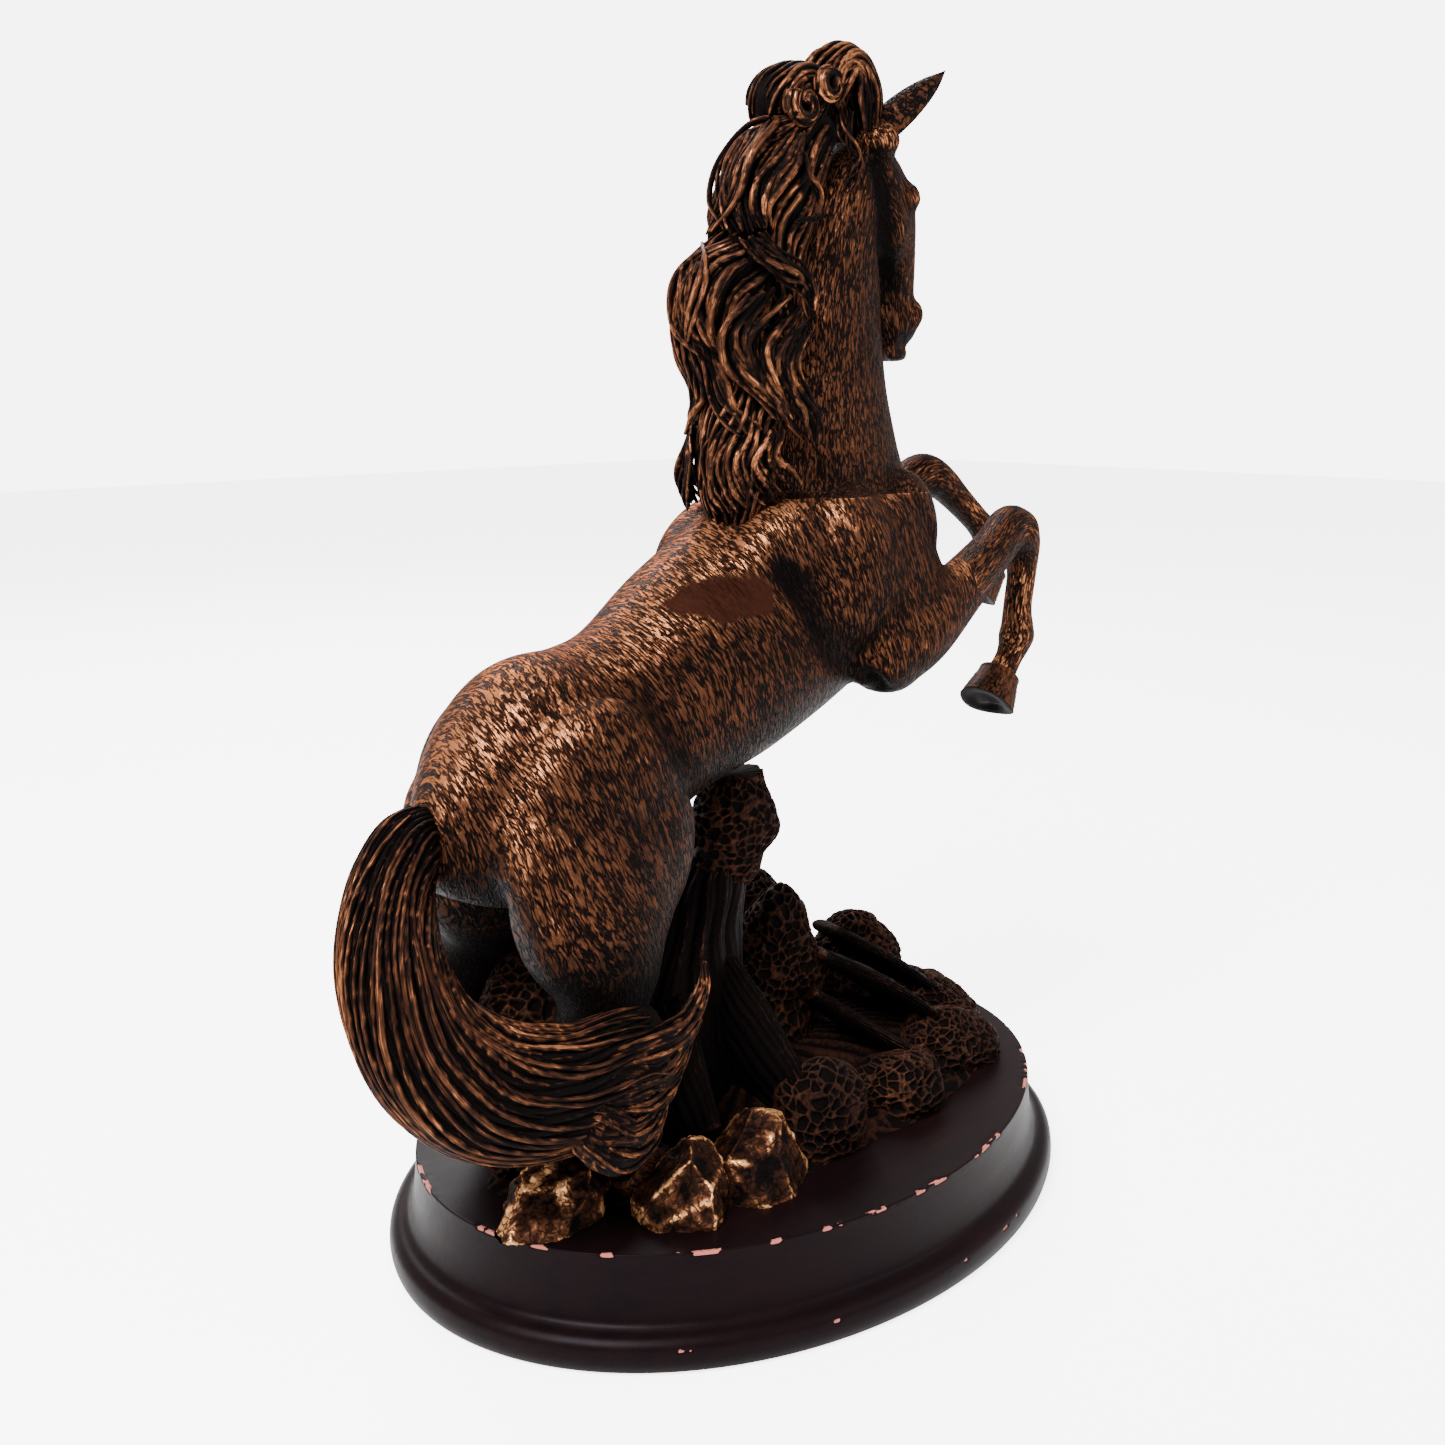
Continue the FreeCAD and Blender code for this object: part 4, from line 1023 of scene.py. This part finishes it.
# sheets of running water: striated tongues that pour over and between the foam
fans = [[(24, -6, 34, 2, 6), (38, -12, 25, 2.5, 12), (52, -17, 13, 2.5, 14), (64, -22, 5, 1, 10)],
        [(40, 6, 34, 2, 6), (54, 2, 24, 2.5, 12), (68, -2, 13, 2.5, 12), (78, -6, 6, 1, 8)],
        [(16, -12, 26, 2, 6), (24, -20, 18, 2.5, 11), (34, -26, 10, 2.5, 12), (42, -32, 4, 1, 8)],
        [(-30, -2, 38, 3, 7), (-36, -12, 24, 5, 13), (-40, -26, 8, 4, 12)],
        [(-14, -6, 42, 4, 8), (-13, -16, 26, 6, 14), (-10, -30, 8, 4, 13)],
        [(-46, 0, 34, 4, 8), (-52, -10, 20, 5, 12), (-56, -18, 8, 4, 10)],
        [(40, 26, 24, 2, 5), (54, 30, 14, 3, 10), (70, 26, 2, 1, 7)],
        [(-6, 20, 34, 2, 5), (-8, 32, 18, 4, 12), (-10, 43, 2, 2, 9)]]
waveFans = hairPiece("waveFans", [mass(f, 21, groove=1.3, sway=0.8, seed=k, steps=70, around=150)
                                  for k, f in enumerate(fans)], shade=0.75)
lowest = readPoints(waveFans)
lowest[:, 2] = np.maximum(lowest[:, 2], deck + 0.2)
writePoints(waveFans, lowest)
print("ground ready")

# plinth and felt
plinthSizes = dict(long=100.0, wide=77.0, deckLong=92.7, deckWide=70.2, footIn=0.9, foot=0.5)


def lacquer():
    # dark mahogany lacquer over turned wood, pinkish where the top edge is knocked through to the undercoat
    material, tree, shader, place = newLook("plinthLacquer", **{"Metallic": 0.0, "Specular IOR Level": 0.07,
                                                                "Specular Tint": (0.45, 0.40, 0.45, 1)})
    link = tree.links.new
    cloud = noise(tree, place, Scale=18.0, Detail=5.0, Roughness=0.6)
    stretch = node(tree, "ShaderNodeMapping", Scale=(8.0, 120.0, 160.0))
    link(place, stretch.inputs["Vector"])
    grain = noise(tree, stretch.outputs[0], Scale=1.5, Detail=4.0, Roughness=0.6)
    dust = noise(tree, place, Scale=700.0, Detail=2.0, Roughness=0.7)
    tone = calc(tree, "ADD", calc(tree, "MULTIPLY", cloud, 0.6), calc(tree, "MULTIPLY", grain, 0.4))
    base = ramp(tree, tone, [(0.35, (0.0022, 0.0011, 0.0013, 1)), (0.55, (0.0042, 0.0016, 0.0018, 1)),
                             (0.72, (0.0090, 0.0024, 0.0024, 1))])
    speckled = calc(tree, "ADD", attribute(tree, "ridge"),
                    calc(tree, "MULTIPLY", calc(tree, "SUBTRACT", dust, 0.5), 0.35))
    mask = ramp(tree, speckled, [(0.52, grey(0)), (0.60, grey(1))])
    link(painted(tree, mask, base, (0.30, 0.095, 0.075, 1)), shader.inputs["Base Color"])
    link(ramp(tree, tone, [(0.3, grey(0.34)), (0.7, grey(0.46))]), shader.inputs["Roughness"])
    bumped(tree, shader, calc(tree, "ADD", grain, calc(tree, "MULTIPLY", dust, 0.3)), 0.35, 0.0002)
    return material


def plinthPoints(around=720):
    # the profile (share of the way from foot to deck outline, height) carried round the oval
    profile = [(0.0, 0.5), (-0.12, 1.2), (-0.20, 3.0), (-0.20, 5.0), (-0.12, 7.0), (0.10, 8.4), (0.42, 9.2),
               (0.62, 10.2), (0.74, 12.0), (0.84, 15.0), (0.92, 19.0), (0.98, 23.0), (1.00, 25.0),
               (1.01, 25.75), (1.06, 25.98), (1.14, 26.0)]
    knots = pathThrough([(a, z, 0) for a, z in profile], 130)[:, :2]
    knots[:, 1] = np.minimum(knots[:, 1], deck)
    a = np.linspace(0, tau, around, endpoint=False)[None, :]
    share, z = knots[:, :1], knots[:, 1:2]
    footLong = plinthSizes["long"] - plinthSizes["footIn"]
    footWide = plinthSizes["wide"] - plinthSizes["footIn"]
    long = footLong + (plinthSizes["deckLong"] - footLong) * share
    wide = footWide + (plinthSizes["deckWide"] - footWide) * share
    flat = np.linspace(0.985, 0.02, 60)[:, None]
    top = np.concatenate([np.concatenate([long, flat * long[-1]]), np.concatenate([wide, flat * wide[-1]]),
                          np.concatenate([z, np.full((60, 1), deck)])], 1)
    x = top[:, :1] * np.cos(a)
    y = top[:, 1:2] * np.sin(a)
    z = top[:, 2:3] + 0 * a
    return np.stack([x, y, z], -1)


ringPoints = plinthPoints()
rows, around = ringPoints.shape[:2]
flatPoints = ringPoints.reshape(-1, 3)
# knocks follow the top edge, outside an inner oval, and the foot's bulge
knocks = dict(edge=25.7, edgeTall=0.42, insideLong=91, insideWide=68.5, foot=6.5, footTall=0.5, flakes=13)
outside = np.hypot(flatPoints[:, 0] / knocks["insideLong"], flatPoints[:, 1] / knocks["insideWide"]) > 1
edge = np.exp(-((flatPoints[:, 2] - knocks["edge"]) / knocks["edgeTall"]) ** 2) * outside
foot = 0.9 * np.exp(-((flatPoints[:, 2] - knocks["foot"]) / knocks["footTall"]) ** 2)
bearing = np.arctan2(flatPoints[:, 1] / 70, flatPoints[:, 0] / 92) * knocks["flakes"]
flakes = valueNoise(np.stack([bearing, np.zeros_like(bearing), np.zeros_like(bearing)], -1), 1.0, 21)
crumbs = valueNoise(flatPoints, 1.6, 22)
knock = smoothStep(flakes + 0.6 * crumbs, 0.62, 0.80) * edge + smoothStep(flakes + crumbs, 1.2, 1.35) * foot
turned = flatPoints * (1 - 0.0035 * knock)[:, None]
turned[:, 2] -= 0.25 * knock
under = [[0, 0, deck], [0, 0, plinthSizes["foot"]]]
plinthBody = meshFrom("plinthBody", np.vstack([turned, under]), gridFaces(rows, around, capped=False)
                      + [[(rows - 1) * around + k, (rows - 1) * around + (k + 1) % around, rows * around]
                         for k in range(around)]
                      + [[(k + 1) % around, k, rows * around + 1] for k in range(around)])
keep(plinthBody, "ridge", np.append(knock, [0, 0]))
coated(plinthBody, lacquer())


def fibre(name, dark, light):
    # pressed wool felt: short fibres in every direction
    material, tree, shader, place = newLook(name, Roughness=0.95)
    fuzz = noise(tree, place, Scale=1500.0, Detail=4.0, Roughness=0.7)
    tree.links.new(ramp(tree, fuzz, [(0.35, dark), (0.7, light)]), shader.inputs["Base Color"])
    bumped(tree, shader, fuzz, 0.6, 0.0003)
    return material


def steelLook():
    material, tree, shader, place = newLook("zincSteel", Metallic=1.0)
    tarnish = noise(tree, place, Scale=300.0, Detail=5.0, Roughness=0.6)
    tone = ramp(tree, tarnish, [(0.35, (0.30, 0.29, 0.26, 1)), (0.65, (0.56, 0.56, 0.54, 1))])
    tree.links.new(tone, shader.inputs["Base Color"])
    tree.links.new(ramp(tree, tarnish, [(0.3, grey(0.5)), (0.7, grey(0.28))]), shader.inputs["Roughness"])
    bumped(tree, shader, tarnish, 0.2, 0.0001)
    return material


felt = dict(long=92.7, wide=69.7, thick=1.5)
a = np.linspace(0, tau, 360, endpoint=False)
feltRings = [(0.9975, 0.0), (1.0, 0.25), (1.0, 1.2), (0.9975, felt["thick"])]
feltPoints = np.concatenate([np.stack([s * felt["long"] * np.cos(a), s * felt["wide"] * np.sin(a), 0 * a + z],
                                      -1) for s, z in feltRings])
feltPad = meshFrom("feltSheet", np.vstack([feltPoints, [[0, 0, 0], [0, 0, felt["thick"]]]]),
                   gridFaces(4, 360))
coated(feltPad, fibre("blackFelt", (0.004, 0.005, 0.005, 1), (0.022, 0.025, 0.024, 1)))
steel = steelLook()
for name in ("base_screws", "hind_foot_studs", "neck_pin", "head_pin", "tail_pin", "shoulder_pin", "hip_pin"):
    coated(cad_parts[name], steel)
print("plinth ready")

# which piece stands for which part
stands = {castings[key]: nodeName for key, nodeName in dict(
    horseBody="torso", horseNeck="neck", horseHead="head", rightForelegSkin="right_foreleg",
    leftForelegSkin="left_foreleg", rightHindSkin="right_hind_leg", leftHindSkin="left_hind_leg").items()}
stands.update({hooves[key]: nodeName for key, nodeName in dict(
    rightForeHoof="right_fore_hoof", leftForeHoof="left_fore_hoof", rightHindHoof="right_hind_hoof",
    leftHindHoof="left_hind_hoof").items()})
stands.update({ears["rightEar"]: "right_ear", ears["leftEar"]: "left_ear", tailMass: "tail",
               tailTip: "tail_tip",
               crestLock: "mane_crest", middleLock: "mane_middle", baseLock: "mane_base",
               sideLock: "mane_right_lock", pollCurl: "poll_curl", forelock: "forelock",
               waveGround: "ground_casting", stumpColumn: "stump_support", stumpCap: "stump_cap",
               plinthBody: "plinth", feltPad: "felt_pad"})
stands.update(dict(list(foams.values()) + list(rocks.values())))
for obj, nodeName in stands.items():
    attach(obj, "root")
    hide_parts(nodeName)
for extra in eyes + [waveFans]:
    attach(extra, "root")

# floor, light and camera
studio = dict(key=50.0, fill=7.0, rim=20.0, sky=1.0, backdrop=6.5, floorGlow=4.2, floorFill=0.3)
floorMesh = bpy.data.meshes.new("floor")
floorMesh.from_pydata([(-3, -3, 0), (3, -3, 0), (3, 3, 0), (-3, 3, 0)], [], [(0, 1, 2, 3)])
floor = placed("floor", floorMesh)
floorLook = bpy.data.materials.new("paleFloor")
floorLook.use_nodes = True
floorShader = floorLook.node_tree.nodes["Principled BSDF"]
floorShader.inputs["Base Color"].default_value = (0.93, 0.93, 0.93, 1)
floorShader.inputs["Roughness"].default_value = 0.6
floorShader.inputs["Emission Color"].default_value = (1, 1, 1, 1)
# the camera sees a bright floor, while the statue gets only a little of that light
floorTree = floorLook.node_tree
floorRay = node(floorTree, "ShaderNodeLightPath").outputs["Is Camera Ray"]
glow = calc(floorTree, "MULTIPLY", floorRay, studio["floorGlow"] - studio["floorFill"])
floorTree.links.new(calc(floorTree, "ADD", glow, studio["floorFill"]),
                    floorShader.inputs["Emission Strength"])
floor.data.materials.append(floorLook)
world = bpy.data.worlds.new("studio")
bpy.context.scene.world = world
world.use_nodes = True
sky = world.node_tree
lighting = sky.nodes["Background"]
lighting.inputs["Color"].default_value = (1, 1, 1, 1)
lighting.inputs["Strength"].default_value = studio["sky"]
seen = node(sky, "ShaderNodeBackground", Color=(1, 1, 1, 1), Strength=studio["backdrop"])
choose = node(sky, "ShaderNodeMixShader")
sky.links.new(node(sky, "ShaderNodeLightPath").outputs["Is Camera Ray"], choose.inputs[0])
sky.links.new(lighting.outputs[0], choose.inputs[1])
sky.links.new(seen.outputs[0], choose.inputs[2])
sky.links.new(choose.outputs[0], sky.nodes["World Output"].inputs["Surface"])


def softBox(name, place, aim, size, power):
    lamp = bpy.data.lights.new(name, "AREA")
    lamp.shape = "RECTANGLE"
    lamp.size, lamp.size_y, lamp.energy = size, size * 0.8, power
    obj = placed(name, lamp)
    obj.location = place
    obj.rotation_euler = (Vector(aim) - Vector(place)).to_track_quat("-Z", "Y").to_euler()


softBox("keyLight", (-0.75, -0.25, 1.05), (-0.02, 0, 0.14), 0.6, studio["key"])
softBox("fillLight", (0.45, -0.9, 0.6), (0, 0, 0.14), 0.9, studio["fill"])
softBox("rimLight", (0.3, 0.9, 0.9), (0, 0, 0.15), 0.7, studio["rim"])

# three-quarter view from behind the horse's right side
lens = bpy.data.cameras.new("camera")
lens.sensor_width, lens.lens = 36.0, 36.12
lens.clip_start, lens.clip_end = 0.01, 20
camera = placed("camera", lens)
azimuth, elevation, roll = math.radians(-42), math.radians(13.2), math.radians(-0.3)
back = Vector((math.sin(azimuth) * math.cos(elevation), -math.cos(azimuth) * math.cos(elevation),
               math.sin(elevation)))
right = Vector((math.cos(azimuth), math.sin(azimuth), 0))
up = back.cross(right)
turn = Matrix((math.cos(roll) * right + math.sin(roll) * up, -math.sin(roll) * right + math.cos(roll) * up,
               back)).transposed()
camera.matrix_world = Matrix.Translation(Vector((-249.14, -271.25, 215.2)) * mm) @ turn.to_4x4()
bpy.context.scene.camera = camera
